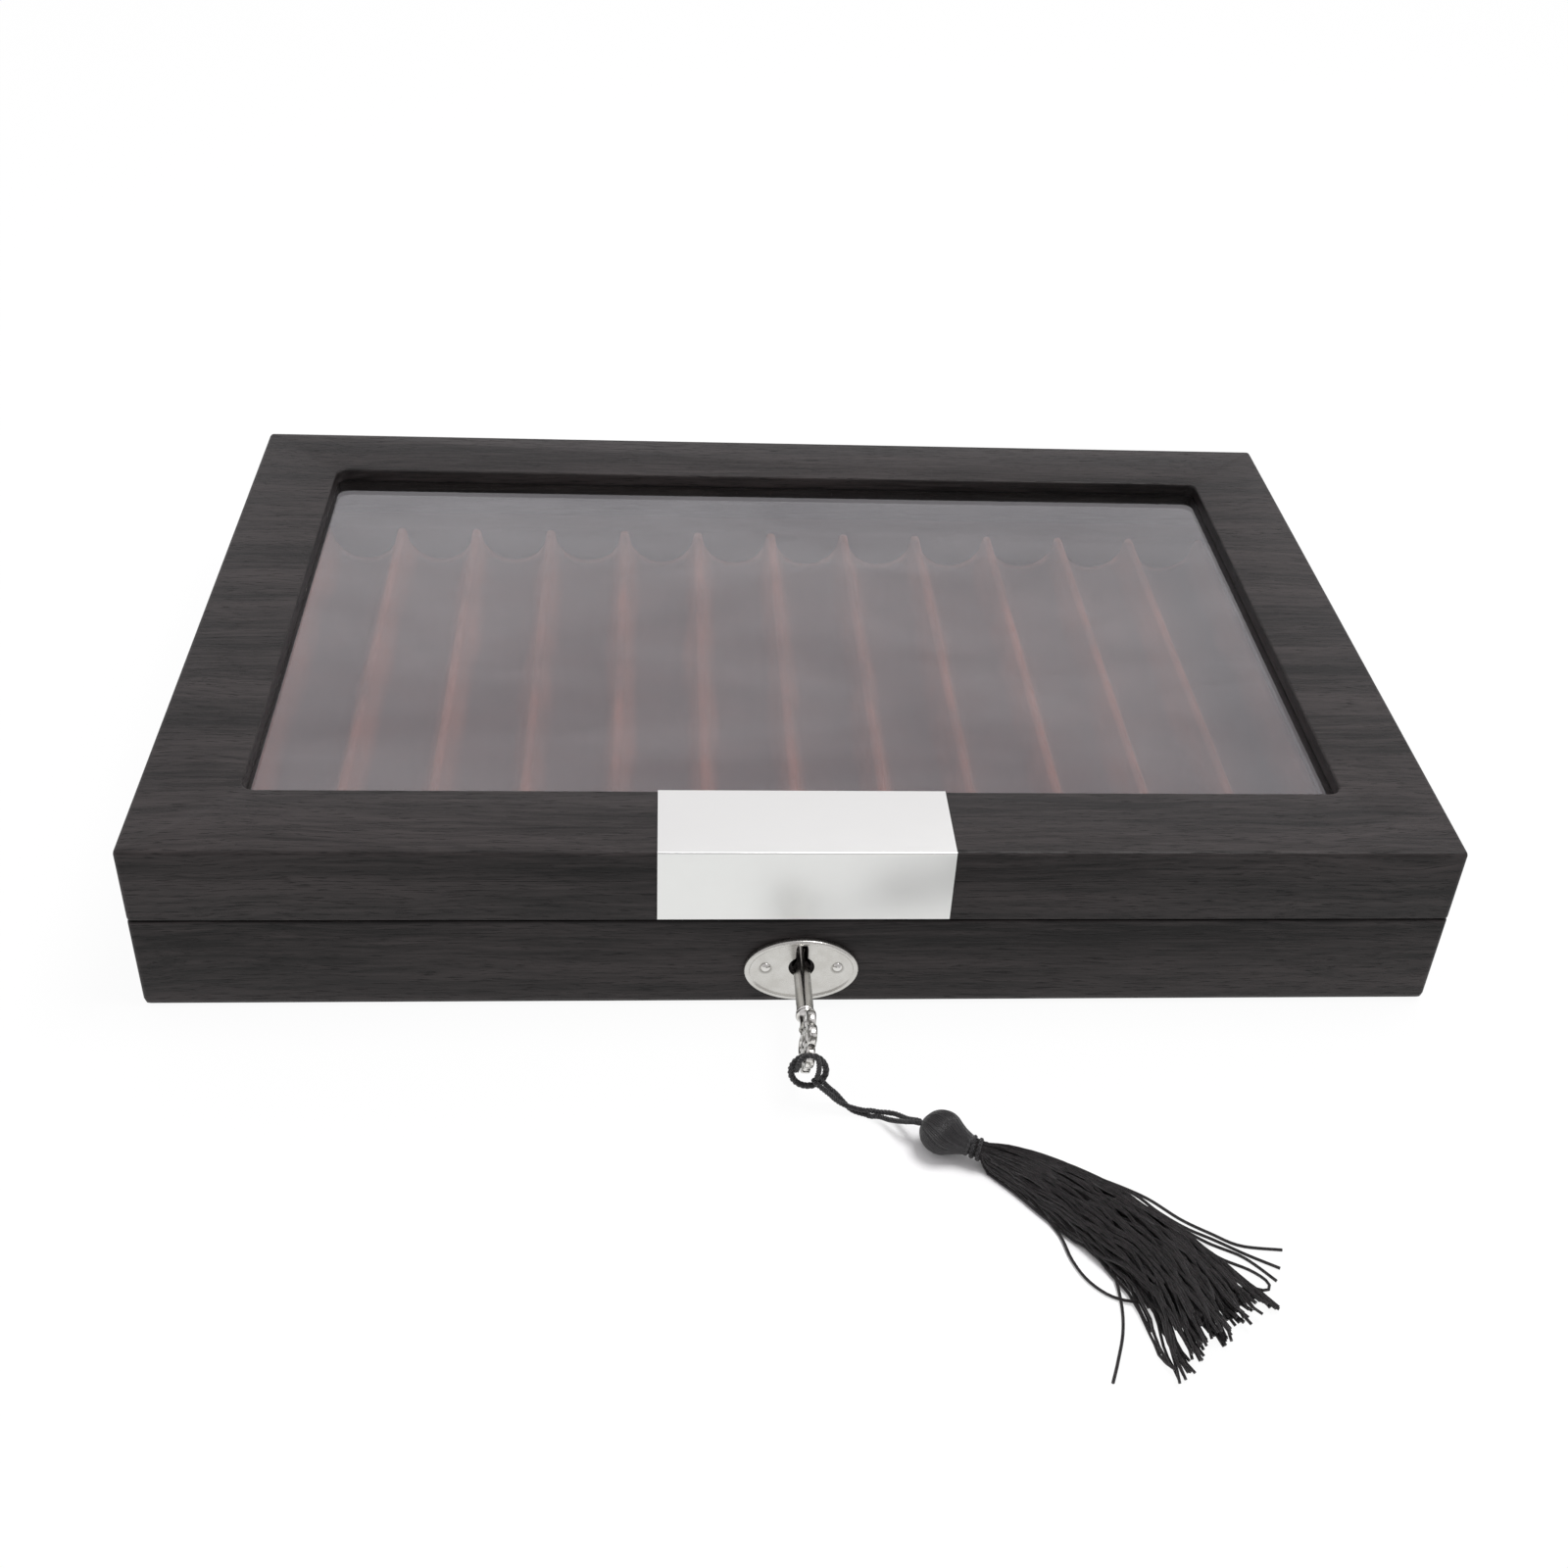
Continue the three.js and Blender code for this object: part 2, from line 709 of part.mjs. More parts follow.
function buildLock(base) {
  const half = lockWidth / 2;
  const caseBack = mortiseFront + lockDepth;
  const caseBody = block(-half, half, mortiseFront, caseBack - glueLine, lockBottom, baseHeight);
  const inside = half - lockSheet;
  const roof = baseHeight - lockSheet;
  const front = mortiseFront + lockSheet;
  const cavity = block(-inside, inside, front, caseBack + toolRun, lockBottom + lockSheet, roof);
  const slotHalf = stapleThickness / 2 + 2 * looseClearance;
  const slotY0 = boltCentre - stapleWidth / 2 - stapleSwingRoom;
  const slotY1 = boltCentre + stapleWidth / 2 + looseClearance;
  const slots = [-stapleOffset, stapleOffset].map((x) =>
    block(x - slotHalf, x + slotHalf, slotY0, slotY1, roof - toolRun, baseHeight + toolRun),
  );
  const entry = keyhole(guideHoleRadius, mortiseFront - toolRun, front + toolRun);
  entry.translate(-lockOffset, 0, 0);
  const box = cut(solidOf(caseBody), [cavity, ...slots, entry]);
  addPiece(base, "lock_case", box, "satinSteel").position.x = lockOffset;

  const plateHalf = backPlateWidth / 2;
  const plateFront = innerFace - backPlateThickness;
  const plateBody = block(-plateHalf, plateHalf, plateFront, innerFace, lockBottom, baseHeight);
  const pinEnd = boltCentre - boltThickness / 2 + looseClearance;
  const pinZ = keyAxisHeight + guideHeight;
  const pins = guidePlaces.map((x) => rodAlongY(guidePinRadius, x, pinZ, pinEnd, plateFront + jointBite));
  const screwHoles = [-1, 1].map((side) => {
    const hole = backPlateScrewPlace(screwHole(), side * backPlateScrewOffset);
    hole.translate(-lockOffset, 0, 0);
    return hole;
  });
  const drilled = cut(joined([plateBody, ...pins]), screwHoles);
  addPiece(base, "lock_back_plate", drilled, "satinSteel").position.x = lockOffset;
  [-1, 1].forEach((side) => {
    const name = `lock_screw_${side < 0 ? "left" : "right"}`;
    const screw = addPiece(base, name, screwSolid(), "brightNickel");
    screw.position.set(lockOffset + side * backPlateScrewOffset, innerFace, keyAxisHeight);
    screw.rotation.x = -Math.PI / 2;
  });

  buildOvalPlate(base);
}

function buildOvalPlate(base) {
  const curve = 16;
  const front = -halfDepth - ovalThickness;
  const ahead = front - toolRun;
  const behind = -halfDepth + toolRun;
  const inset = (edge) => ellipse(ovalWidth / 2 - edge, ovalHeight / 2 - edge, 0, -ovalDrop);
  const plate = alongY(inset(0), front + ovalBevel, -halfDepth - glueLine, curve);
  const face = alongY(inset(ovalBevel), front, front + 2 * ovalBevel, curve);
  const dish = alongY(inset(ovalRim), ahead, front + ovalDish, curve);
  const opening = keyholeShape(ovalHoleRadius, keyholeSlotWidth, keyholeSlotHeight);
  const pinRadius = ovalPinRadius + screwClearance;
  const pinHoles = [-1, 1].map((side) =>
    rodAlongY(pinRadius, (side * ovalPinSpacing) / 2, 0, ahead, behind, screwSegments),
  );
  const pierced = cut(joined([plate, face]), [dish, alongY(opening, ahead, behind), ...pinHoles]);
  addPiece(base, "lock_escutcheon", pierced, "brightNickel").position.set(lockOffset, 0, keyAxisHeight);

  const seat = -halfDepth - ovalThickness + ovalDish;
  const length = ovalPinLength - seat - halfDepth;
  const dome = (turn) => [
    ovalPinHeadRadius * Math.cos(turn),
    glueLine + ovalPinHeadHeight * Math.sin(turn),
  ];
  const profile = [
    [0, -length],
    [ovalPinRadius, -length + ovalPinRadius],
    [ovalPinRadius, glueLine],
    ...[0, 1, 2].map((step) => dome((step * Math.PI) / 6)),
    [0, glueLine + ovalPinHeadHeight],
  ];
  [-1, 1].forEach((side) => {
    const name = `lock_pin_${side < 0 ? "left" : "right"}`;
    const pin = addPiece(base, name, turned(profile, screwSegments), "brightNickel");
    pin.position.set(lockOffset + (side * ovalPinSpacing) / 2, seat, keyAxisHeight);
    pin.rotation.x = Math.PI / 2;
  });
}

// The bolt slides towards +X into the staples. Its outline is one bar with two hooked fingers.
function buildBolt() {
  const hook = (tip) => [
    [tip - fingerLength, boltBarTop],
    [tip - fingerLength, fingerBottom],
    [tip, fingerBottom],
    [tip, fingerTop],
    [tip - fingerLength - riserWidth, fingerTop],
  ];
  const outline = polygon([
    [boltLeftEnd, boltBarBottom],
    [boltRightEnd, boltBarBottom],
    [boltRightEnd, boltBarTop],
    ...hook(rightFingerTip),
    [rightFingerTip - fingerLength - riserWidth, boltBarTop],
    ...hook(leftFingerTip),
  ]);
  const front = boltCentre - boltThickness / 2;
  const back = boltCentre + boltThickness / 2;
  const bar = alongY(outline, front, back);
  const prong = (x) =>
    block(x, x + talonWidth, front - talonReach, front + jointBite, boltBarTop - talonDepth, boltBarTop);
  const slots = guidePlaces.map((x) => {
    const slot = new THREE.Shape();
    slot.absarc(x, guideHeight, guideSlotRadius, -Math.PI / 2, Math.PI / 2);
    slot.absarc(x - boltTravel, guideHeight, guideSlotRadius, Math.PI / 2, 1.5 * Math.PI);
    slot.closePath();
    return alongY(slot, front - toolRun, back + toolRun);
  });
  const bolt = new THREE.Group();
  const talon = joined([bar, prong(talonHalfGap), prong(-talonHalfGap - talonWidth)]);
  addPiece(bolt, "lock_bolt", cut(talon, slots), "satinSteel");
  bolt.position.set(lockOffset, 0, keyAxisHeight);
  return bolt;
}

// The lid, in its own group with z = 0 at its lower face

function buildLid() {
  const lid = new THREE.Group();
  const plateY0 = boltCentre - stapleWidth / 2 - linkPlateMargin;
  const plateHalf = linkPlateLength / 2;
  const linkScrewPlace = (geometry, side) => {
    geometry.rotateX(Math.PI);
    geometry.translate(lockOffset + side * linkScrewOffset, boltCentre, 0);
    return geometry;
  };
  const linkMortise = block(
    lockOffset - plateHalf - inlayClearance,
    lockOffset + plateHalf + inlayClearance,
    plateY0 - inlayClearance,
    innerFace + toolRun,
    -toolRun,
    linkPlateThickness + glueLine,
  );
  const cuts = {
    front: [linkMortise, ...[-1, 1].map((side) => linkScrewPlace(screwHole(), side))],
    back: [
      ...Object.values(hingePlaces).map((x) => hingeMortise(x, -toolRun, hingeLeafThickness + glueLine)),
      ...hingeScrewXs().map((x) => hingeScrewPlace(screwHole(), x, 0, true)),
    ],
    left: [],
    right: [],
  };
  const ring = wallRing(topFrameBottom - glueLine, seamEdgeRadius, 0);
  for (const side of Object.keys(cuts)) {
    addPiece(lid, `lid_${side}_wall`, cut(ring.intersect(wallWedge(side)), cuts[side]), "veneer");
  }
  buildTopFrame(lid);
  buildNameplate(lid);

  // A bar through the case from side to side, centred on the bolt's thickness
  const barAcross = (x0, x1, width, z0, z1) =>
    block(x0, x1, boltCentre - width / 2, boltCentre + width / 2, z0, z1);
  const staples = [-stapleOffset, stapleOffset].map((x) =>
    barAcross(x - stapleThickness / 2, x + stapleThickness / 2, stapleWidth, -stapleLength, jointBite),
  );
  const plateBody = block(-plateHalf, plateHalf, plateY0, innerFace, 0, linkPlateThickness);
  const eyeBottom = keyAxisHeight + fingerBottom - stapleEyeRoom - lidBottom;
  const eyeTop = keyAxisHeight + fingerTop + stapleEyeRoom - lidBottom;
  const eyes = barAcross(-plateHalf, plateHalf, stapleEyeWidth, eyeBottom, eyeTop);
  const linkHoles = [-1, 1].map((side) => {
    const hole = linkScrewPlace(screwHole(), side);
    hole.translate(-lockOffset, 0, 0);
    return hole;
  });
  const link = cut(joined([plateBody, ...staples]), [eyes, ...linkHoles]);
  addPiece(lid, "strike_plate", link, "satinSteel").position.x = lockOffset;
  [-1, 1].forEach((side) => {
    const name = `strike_screw_${side < 0 ? "left" : "right"}`;
    const screw = addPiece(lid, name, screwSolid(), "brightNickel");
    screw.position.set(lockOffset + side * linkScrewOffset, boltCentre, 0);
    screw.rotation.x = Math.PI;
  });

  for (const [side, x] of Object.entries(hingePlaces)) {
    const leaf = addPiece(lid, `hinge_${side}_lid_leaf`, hingeLeaf(true), "brightNickel");
    leaf.position.set(x, hingeY, hingeZ - lidBottom);
    [-1, 1].forEach((end) => {
      const name = `hinge_${side}_lid_screw_${end < 0 ? "left" : "right"}`;
      const screw = addPiece(lid, name, screwSolid(), "brightNickel");
      screw.position.set(x + end * hingeScrewOffset, hingeScrewY, 0);
      screw.rotation.x = Math.PI;
    });
  }
  lid.position.z = lidBottom;
  return lid;
}

function buildTopFrame(lid) {
  const top = lidHeight;
  const rebateTop = top - glassDepth;
  const slab = roundedBlock(halfWidth, halfDepth, cornerRadius, topFrameBottom, top, 0, topEdgeRadius);
  const steps = 3;
  const cornerSteps = 6;
  const windowRing = (flare, z) =>
    roundedRing(windowHalfWidth + flare, windowHalfDepth + flare, windowCornerRadius + flare, z, cornerSteps);
  const rings = [windowRing(0, topFrameBottom - toolRun)];
  for (let step = 0; step <= steps; step++) {
    const turn = (step / steps) * (Math.PI / 2);
    const flare = windowEdgeRadius * (1 - Math.cos(turn));
    rings.push(windowRing(flare, top - windowEdgeRadius * (1 - Math.sin(turn))));
  }
  rings.push(windowRing(windowEdgeRadius, top + toolRun));
  const rebateX = windowHalfWidth + glassLap;
  const rebateY = windowHalfDepth + glassLap;
  const rebate = block(-rebateX, rebateX, -rebateY, rebateY, topFrameBottom - toolRun, rebateTop);
  addPiece(lid, "lid_top_frame", cut(solidOf(slab), [stack(rings), rebate]), "veneer");

  const paneX = rebateX - inlayClearance;
  const paneY = rebateY - inlayClearance;
  const paneBottom = rebateTop - glassThickness;
  addPiece(lid, "glass_pane", block(-paneX, paneX, -paneY, paneY, paneBottom, rebateTop - glueLine), "glass");
  const beadTop = paneBottom - glueLine;
  const bead = (x0, x1, y0, y1) => block(x0, x1, y0, y1, topFrameBottom, beadTop);
  const sideY = windowHalfDepth - inlayClearance;
  addPiece(lid, "glass_bead_front", bead(-paneX, paneX, -paneY, -windowHalfDepth), "veneer");
  addPiece(lid, "glass_bead_back", bead(-paneX, paneX, windowHalfDepth, paneY), "veneer");
  addPiece(lid, "glass_bead_left", bead(-paneX, -windowHalfWidth, -sideY, sideY), "veneer");
  addPiece(lid, "glass_bead_right", bead(windowHalfWidth, paneX, -sideY, sideY), "veneer");
}

// A thin plate bent over the front rail, from the window's edge down the lid's front
function buildNameplate(lid) {
  const wood = -halfDepth - glueLine;
  const face = wood - nameplateThickness;
  const under = lidHeight + glueLine;
  const top = under + nameplateThickness;
  const foot = lidHeight - nameplateDrop;
  const windowEdge = -windowHalfDepth - windowEdgeRadius;
  const shape = new THREE.Shape();
  shape.moveTo(windowEdge, under);
  shape.lineTo(windowEdge, top);
  shape.absarc(face + nameplateBend, top - nameplateBend, nameplateBend, Math.PI / 2, Math.PI, false);
  shape.lineTo(face, foot);
  shape.lineTo(wood, foot);
  shape.lineTo(wood, under);
  shape.closePath();
  const plate = alongX(shape, -nameplateWidth / 2, nameplateWidth / 2, 3);
  addPiece(lid, "nameplate", plate, "satinSteel").position.x = lockOffset;
}

// The key, in a group with its origin on the key's axis at the case's front face

const bowCentre = -keyReach - bowLobeCircle - bowLobeRadius;
const bowHoleY = bowCentre - bowLobeCircle;

function buildKey() {
  const key = new THREE.Group();
  const bitBack = boltCentre + halfDepth - boltThickness / 2 - looseClearance;
  const bitFront = bitBack - bitThickness;
  const collarStart = keyReach - keyCollarSetBack - keyCollarLength;
  const beadStart = collarStart - keyBeadLength;
  const profile = [
    [0, -bitBack],
    [shankRadius, -bitBack],
    [shankRadius, beadStart],
    [keyBeadRadius, beadStart + keyBeadLength / 2],
    [shankRadius, collarStart],
    [keyCollarRadius, collarStart + keyCollarLength / 3],
    [keyCollarRadius, collarStart + (2 * keyCollarLength) / 3],
    [shankRadius, collarStart + keyCollarLength],
    [keyNeckRadius, -bowCentre - bowLobeCircle],
    [0, -bowCentre - bowLobeCircle],
  ];
  const shank = turned(profile, 16);
  shank.rotateX(Math.PI / 2);
  const bit = block(-bitWidth / 2, bitWidth / 2, bitFront, bitBack, 0, bitHeight);
  const lobePlaces = Array.from({ length: bowLobeCount }, (_, lobe) => {
    const turn = (lobe * 2 * Math.PI) / bowLobeCount;
    return [bowCentre - bowLobeCircle * Math.cos(turn), bowLobeCircle * Math.sin(turn)];
  });
  // The lobe at the shank stays solid, so that the bow doesn't break off.
  const throat = bowLobeCount / 2;
  const holePlaces = [[bowCentre, 0], ...lobePlaces.filter((_, lobe) => lobe !== throat)];
  const half = bowThickness / 2;
  const lobes = lobePlaces.map(([y, z]) => rodAlongX(bowLobeRadius, y, z, -half, half));
  const heart = rodAlongX(bowLobeCircle, bowCentre, 0, -half, half, 24);
  const holes = holePlaces.map(([y, z]) => rodAlongX(bowHoleRadius, y, z, -bowThickness, bowThickness));
  const lean = THREE.MathUtils.degToRad(bowLean);
  for (const piece of [...lobes, heart, ...holes]) {
    piece.rotateY(lean);
  }
  addPiece(key, "key", cut(joined([shank, bit, heart, ...lobes]), holes), "brightNickel");

  const loop = new THREE.TorusGeometry(loopRadius, loopCordRadius, 8, 28);
  const tilt = THREE.MathUtils.degToRad(loopTilt);
  const ring = addPiece(key, "key_cord_ring", loop, "thread");
  ring.rotation.x = tilt;
  ring.position.set(0, bowHoleY - loopRadius * Math.cos(tilt), -loopRadius * Math.sin(tilt));
  key.position.set(lockOffset, -halfDepth, keyAxisHeight);
  return key;
}

// The tassel lies on the surface that the case stands on

function buildTassel() {
  const tassel = new THREE.Group();
  const route = new THREE.CatmullRomCurve3(cordRoute.map((place) => new THREE.Vector3(...place)));
  const settings = { extrudePath: route, steps: 12, curveSegments: 4, bevelEnabled: false };
  const cord = new THREE.ExtrudeGeometry(ellipse(cordRadius, cordRadius), settings);
  addPiece(tassel, "tassel_cord", cord, "thread");

  const bundle = new THREE.Group();
  const headProfile = [];
  const headSteps = 10;
  const lastTurn = Math.acos(headEnd / headRadius);
  for (let step = 0; step <= headSteps; step++) {
    const turn = Math.PI - (step / headSteps) * (Math.PI - lastTurn);
    headProfile.push([headRadius * Math.sin(turn), headRadius * Math.cos(turn)]);
  }
  headProfile[0][0] = 0;
  headProfile.push([0, headEnd]);
  const head = turned(headProfile, 20);
  head.rotateY(Math.PI / 2);
  addPiece(bundle, "tassel_head", head, "thread");
  addPiece(bundle, "tassel_neck", neckBinding(neckStart), "thread");
  bundle.position.set(...headCentre);
  bundle.rotation.set(0, THREE.MathUtils.degToRad(tasselDip), THREE.MathUtils.degToRad(tasselTurn), "ZYX");
  tassel.add(bundle);

  addPiece(tassel, "tassel_skirt", skirt(), "thread");
  return tassel;
}

// One unbroken thread wound round the strands at the neck, along its group's X axis
function neckBinding(start) {
  const stepsPerTurn = 24;
  const sides = 6;
  const steps = bindingTurns * stepsPerTurn;
  const middle = neckRadius - bindingRadius;
  const travel = neckLength - 2 * bindingRadius;
  const line = [];
  const rings = [];
  for (let step = 0; step <= steps; step++) {
    const turn = (step / stepsPerTurn) * 2 * Math.PI;
    const outward = new THREE.Vector3(0, Math.cos(turn), Math.sin(turn));
    const centre = outward.clone().multiplyScalar(middle);
    centre.x = start + bindingRadius + (travel * step) / steps;
    const rise = travel / bindingTurns / (2 * Math.PI);
    const way = new THREE.Vector3(rise, -centre.z, centre.y).normalize();
    const side = way.clone().cross(outward);
    const ring = Array.from({ length: sides }, (_, corner) => {
      const angle = (corner / sides) * 2 * Math.PI;
      const point = centre.clone().addScaledVector(outward, bindingRadius * Math.cos(angle));
      return point.addScaledVector(side, bindingRadius * Math.sin(angle));
    });
    line.push(centre);
    rings.push(ring);
  }
  const gap = leastGap(line, stepsPerTurn / 2, 2 * bindingRadius);
  console.log(`least gap between the turns of the neck's binding: ${gap.toFixed(2)} mm`);
  return stack(rings);
}

// The least clear distance between points of a winding's centreline that lie at least so many steps apart
function leastGap(line, stepsApart, thickness) {
  const reaches = (point, others) => others.map((other) => point.distanceTo(other));
  const pairs = line.flatMap((point, i) => reaches(point, line.slice(i + stepsApart)));
  return Math.min(...pairs) - thickness;
}

// The strands as one body, with a round core in the neck. They fan out at the ragged end and lie flat below.
function skirt() {
  const spine = new THREE.CatmullRomCurve3(skirtSpine.map(([x, y]) => new THREE.Vector3(x, y, 0)));
  const stations = 12;
  const around = 3 * skirtFlutes;
  // The share of the length over which the strands drop from the neck, and the share where the flutes begin
  const liftedShare = 0.15;
  const fluteShare = 0.25;
  const dip = THREE.MathUtils.degToRad(tasselDip);
  const turn = THREE.MathUtils.degToRad(tasselTurn);
  const along = new THREE.Vector3(Math.cos(turn), Math.sin(turn), -Math.tan(dip)).normalize();
  const coreRadius = neckRadius - 2 * bindingRadius - looseClearance;
  const coreEnd = new THREE.Vector3(spine.points[0].x, spine.points[0].y, 0);
  const coreReach = Math.hypot(coreEnd.x - headCentre[0], coreEnd.y - headCentre[1]) / Math.cos(dip);
  const coreRing = (reach) => {
    const centre = new THREE.Vector3(...headCentre).addScaledVector(along, reach);
    const across = new THREE.Vector3(-Math.sin(turn), Math.cos(turn), 0);
    return Array.from({ length: around }, (_, step) => {
      const angle = (step / around) * 2 * Math.PI;
      const point = centre.clone().addScaledVector(across, coreRadius * Math.cos(angle));
      point.z += coreRadius * Math.sin(angle);
      return point;
    });
  };
  const neckCentre = headCentre[2] - coreReach * Math.sin(dip);
  const rings = [coreRing(neckStart), coreRing(coreReach)];
  for (let station = 0; station <= stations; station++) {
    const t = station / stations;
    const place = spine.getPointAt(t);
    const way = spine.getTangentAt(t);
    const across = new THREE.Vector3(-way.y, way.x, 0);
    const swell = skirtSwell * (1 - Math.exp(-skirtSwellRate * t));
    const half = skirtStartHalfWidth + swell + skirtFlare * t ** skirtFlarePower;
    const height = skirtHeight + skirtCrown * Math.sin(Math.PI * t) - skirtTaper * t;
    const lift = (neckCentre - skirtHeight / 2) * Math.max(0, 1 - t / liftedShare);
    const ring = [];
    for (let step = 0; step < around; step++) {
      const angle = (step / around) * 2 * Math.PI;
      const flute = 1 + skirtFluteDepth * Math.cos(skirtFlutes * angle) * Math.min(1, t / fluteShare);
      const side = half * flute * Math.cos(angle);
      const up = Math.max(0, (height / 2) * (skirtSink + flute * Math.sin(angle)));
      const wave = Math.sin(skirtRaggedWaves * angle) * Math.cos(skirtRaggedDrift * angle);
      const ragged = station === stations ? skirtRaggedness * wave : 0;
      const point = place.clone().addScaledVector(across, side).addScaledVector(way, ragged);
      point.z = lift + up;
      ring.push(point);
    }
    rings.push(ring);
  }
  return stack(rings);
}

const penCase = new THREE.Group();
penCase.add(buildBase(), buildBolt(), buildLid(), buildKey(), buildTassel());

export default penCase;
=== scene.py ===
# %% [markdown]
# # A pen display case with its key and tassel
#
# This lesson dresses the solid model of a black wooden pen case in Blender. The case has a glass lid, a
# metal nameplate, a small lock with its key in it, and a tassel that lies in front of it. The solid model
# gives every size and every joint, so it is loaded first and never moved. Each cell below then adds one
# finish or one finer piece, and tells what it is on the real object.

import json
import math
import random

import bmesh
import bpy
from mathutils import Matrix, Vector, noise

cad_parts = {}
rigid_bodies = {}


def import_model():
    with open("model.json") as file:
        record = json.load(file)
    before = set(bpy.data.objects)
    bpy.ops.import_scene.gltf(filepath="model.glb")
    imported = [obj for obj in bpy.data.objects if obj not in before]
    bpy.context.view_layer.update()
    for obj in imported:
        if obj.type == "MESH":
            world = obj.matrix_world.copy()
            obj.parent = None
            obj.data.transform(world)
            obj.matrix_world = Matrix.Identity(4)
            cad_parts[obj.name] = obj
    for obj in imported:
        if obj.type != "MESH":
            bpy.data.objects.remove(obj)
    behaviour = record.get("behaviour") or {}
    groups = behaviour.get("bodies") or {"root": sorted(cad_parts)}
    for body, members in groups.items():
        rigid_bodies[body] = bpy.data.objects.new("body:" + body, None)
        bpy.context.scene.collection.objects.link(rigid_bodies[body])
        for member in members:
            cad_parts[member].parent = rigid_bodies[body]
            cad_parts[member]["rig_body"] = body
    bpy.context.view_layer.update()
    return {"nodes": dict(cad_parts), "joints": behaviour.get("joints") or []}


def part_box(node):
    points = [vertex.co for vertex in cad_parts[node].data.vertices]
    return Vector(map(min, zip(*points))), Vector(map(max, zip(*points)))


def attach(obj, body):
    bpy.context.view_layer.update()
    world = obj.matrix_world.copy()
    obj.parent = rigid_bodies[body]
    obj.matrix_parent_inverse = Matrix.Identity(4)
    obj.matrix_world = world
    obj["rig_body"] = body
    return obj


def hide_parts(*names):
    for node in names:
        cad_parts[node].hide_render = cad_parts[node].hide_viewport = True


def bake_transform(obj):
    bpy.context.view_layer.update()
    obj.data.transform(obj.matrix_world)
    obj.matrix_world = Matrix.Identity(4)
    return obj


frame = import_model()
nodes = frame["nodes"]
MM = 0.001

# %% [markdown]
# ## The camera
#
# The picture looks down on the case from the front and a little from its left. Four things say that: how
# far the view turns to the right, how steeply it looks down, how far the camera leans, and where it stands.
# They turn into one matrix, which is easier to read than three angles about fixed axes. The lens is shifted
# a little too, as in a picture that was trimmed more on one side than on the other.

# %% The camera
def place_camera():
    lens = bpy.data.cameras.new("camera")
    lens.sensor_width = 36
    lens.lens = 43.046
    lens.shift_x = -0.01903
    lens.shift_y = -0.00443
    turn_right = math.radians(5.802)
    look_down = math.radians(36.239)
    lean = math.radians(3.704)
    stand = Matrix.Translation((-0.037442, -0.478039, 0.343205))
    turned = Matrix.Rotation(-turn_right, 4, "Z") @ Matrix.Rotation(math.pi / 2 - look_down, 4, "X")
    camera = bpy.data.objects.new("camera", lens)
    camera.matrix_world = stand @ turned @ Matrix.Rotation(lean, 4, "Z")
    bpy.context.scene.collection.objects.link(camera)
    bpy.context.scene.camera = camera
    return camera


camera = place_camera()
bpy.context.scene.view_settings.view_transform = "Standard"
looks_along = camera.matrix_world.to_3x3() @ Vector((0, 0, -1))
print("camera looks along", [round(x, 3) for x in looks_along])

# %% [markdown]
# ## Lines in space
#
# Cords, threads and strands all follow a line. A designer gives a few places, and the line between them has
# to be smooth. The curve below passes through each place and leaves it in the direction of its neighbours.
# It is then walked in equal steps, so that the twist of a cord is even.

# %% Smooth lines with even steps
def line_length(line):
    return sum((b - a).length for a, b in zip(line, line[1:]))


def even_line(line, steps):
    """The same line with its points at equal steps along it."""
    total = line_length(line)
    made, walked, i = [], 0.0, 0
    for step in range(steps + 1):
        wanted = total * step / steps
        while i < len(line) - 2 and walked + (line[i + 1] - line[i]).length < wanted:
            walked += (line[i + 1] - line[i]).length
            i += 1
        reach = (line[i + 1] - line[i]).length
        made.append(line[i].lerp(line[i + 1], min(1.0, (wanted - walked) / max(reach, 1e-9))))
    return made


def smooth_line(places, spacing, fineness=24):
    """A smooth line through the places, with points about one spacing apart."""
    last = len(places) - 1
    rough = []
    for i in range(last):
        start, end = places[i], places[i + 1]
        leaving = (end - places[max(i - 1, 0)]) / 2
        arriving = (places[min(i + 2, last)] - start) / 2
        for step in range(fineness):
            t = step / fineness
            a, b = 2 * t**3 - 3 * t**2 + 1, t**3 - 2 * t**2 + t
            c, d = -2 * t**3 + 3 * t**2, t**3 - t**2
            rough.append(a * start + b * leaving + c * end + d * arriving)
    rough.append(places[-1].copy())
    return even_line(rough, max(2, round(line_length(rough) / spacing)))


def in_metres(places):
    return [Vector(place) * MM for place in places]


trial_line = smooth_line(in_metres([(0, 0, 0), (10, 5, 0), (20, 0, 0)]), MM)
trial_length = round(line_length(trial_line) / MM, 1)
print("a curve over 20 mm is", trial_length, "mm long, in", len(trial_line), "points")

# %% [markdown]
# ## Plies
#
# A cord is made of a few plies that twist round each other. Each ply keeps a fixed distance from the middle
# line and turns round it as it goes. The direction "sideways" is carried along from point to point, so that
# it never flips. On a closed loop the number of turns is rounded to a whole one, and the plies meet
# themselves.

# %% Plies that twist round a line
def ways_along(line, closed=False):
    """At each point of a line, the way along it."""
    last = len(line) - 1
    ways = []
    for i in range(len(line)):
        before = line[i - 1] if i > 0 or closed else line[0]
        after = line[(i + 1) % len(line)] if i < last or closed else line[last]
        ways.append((after - before).normalized())
    return ways


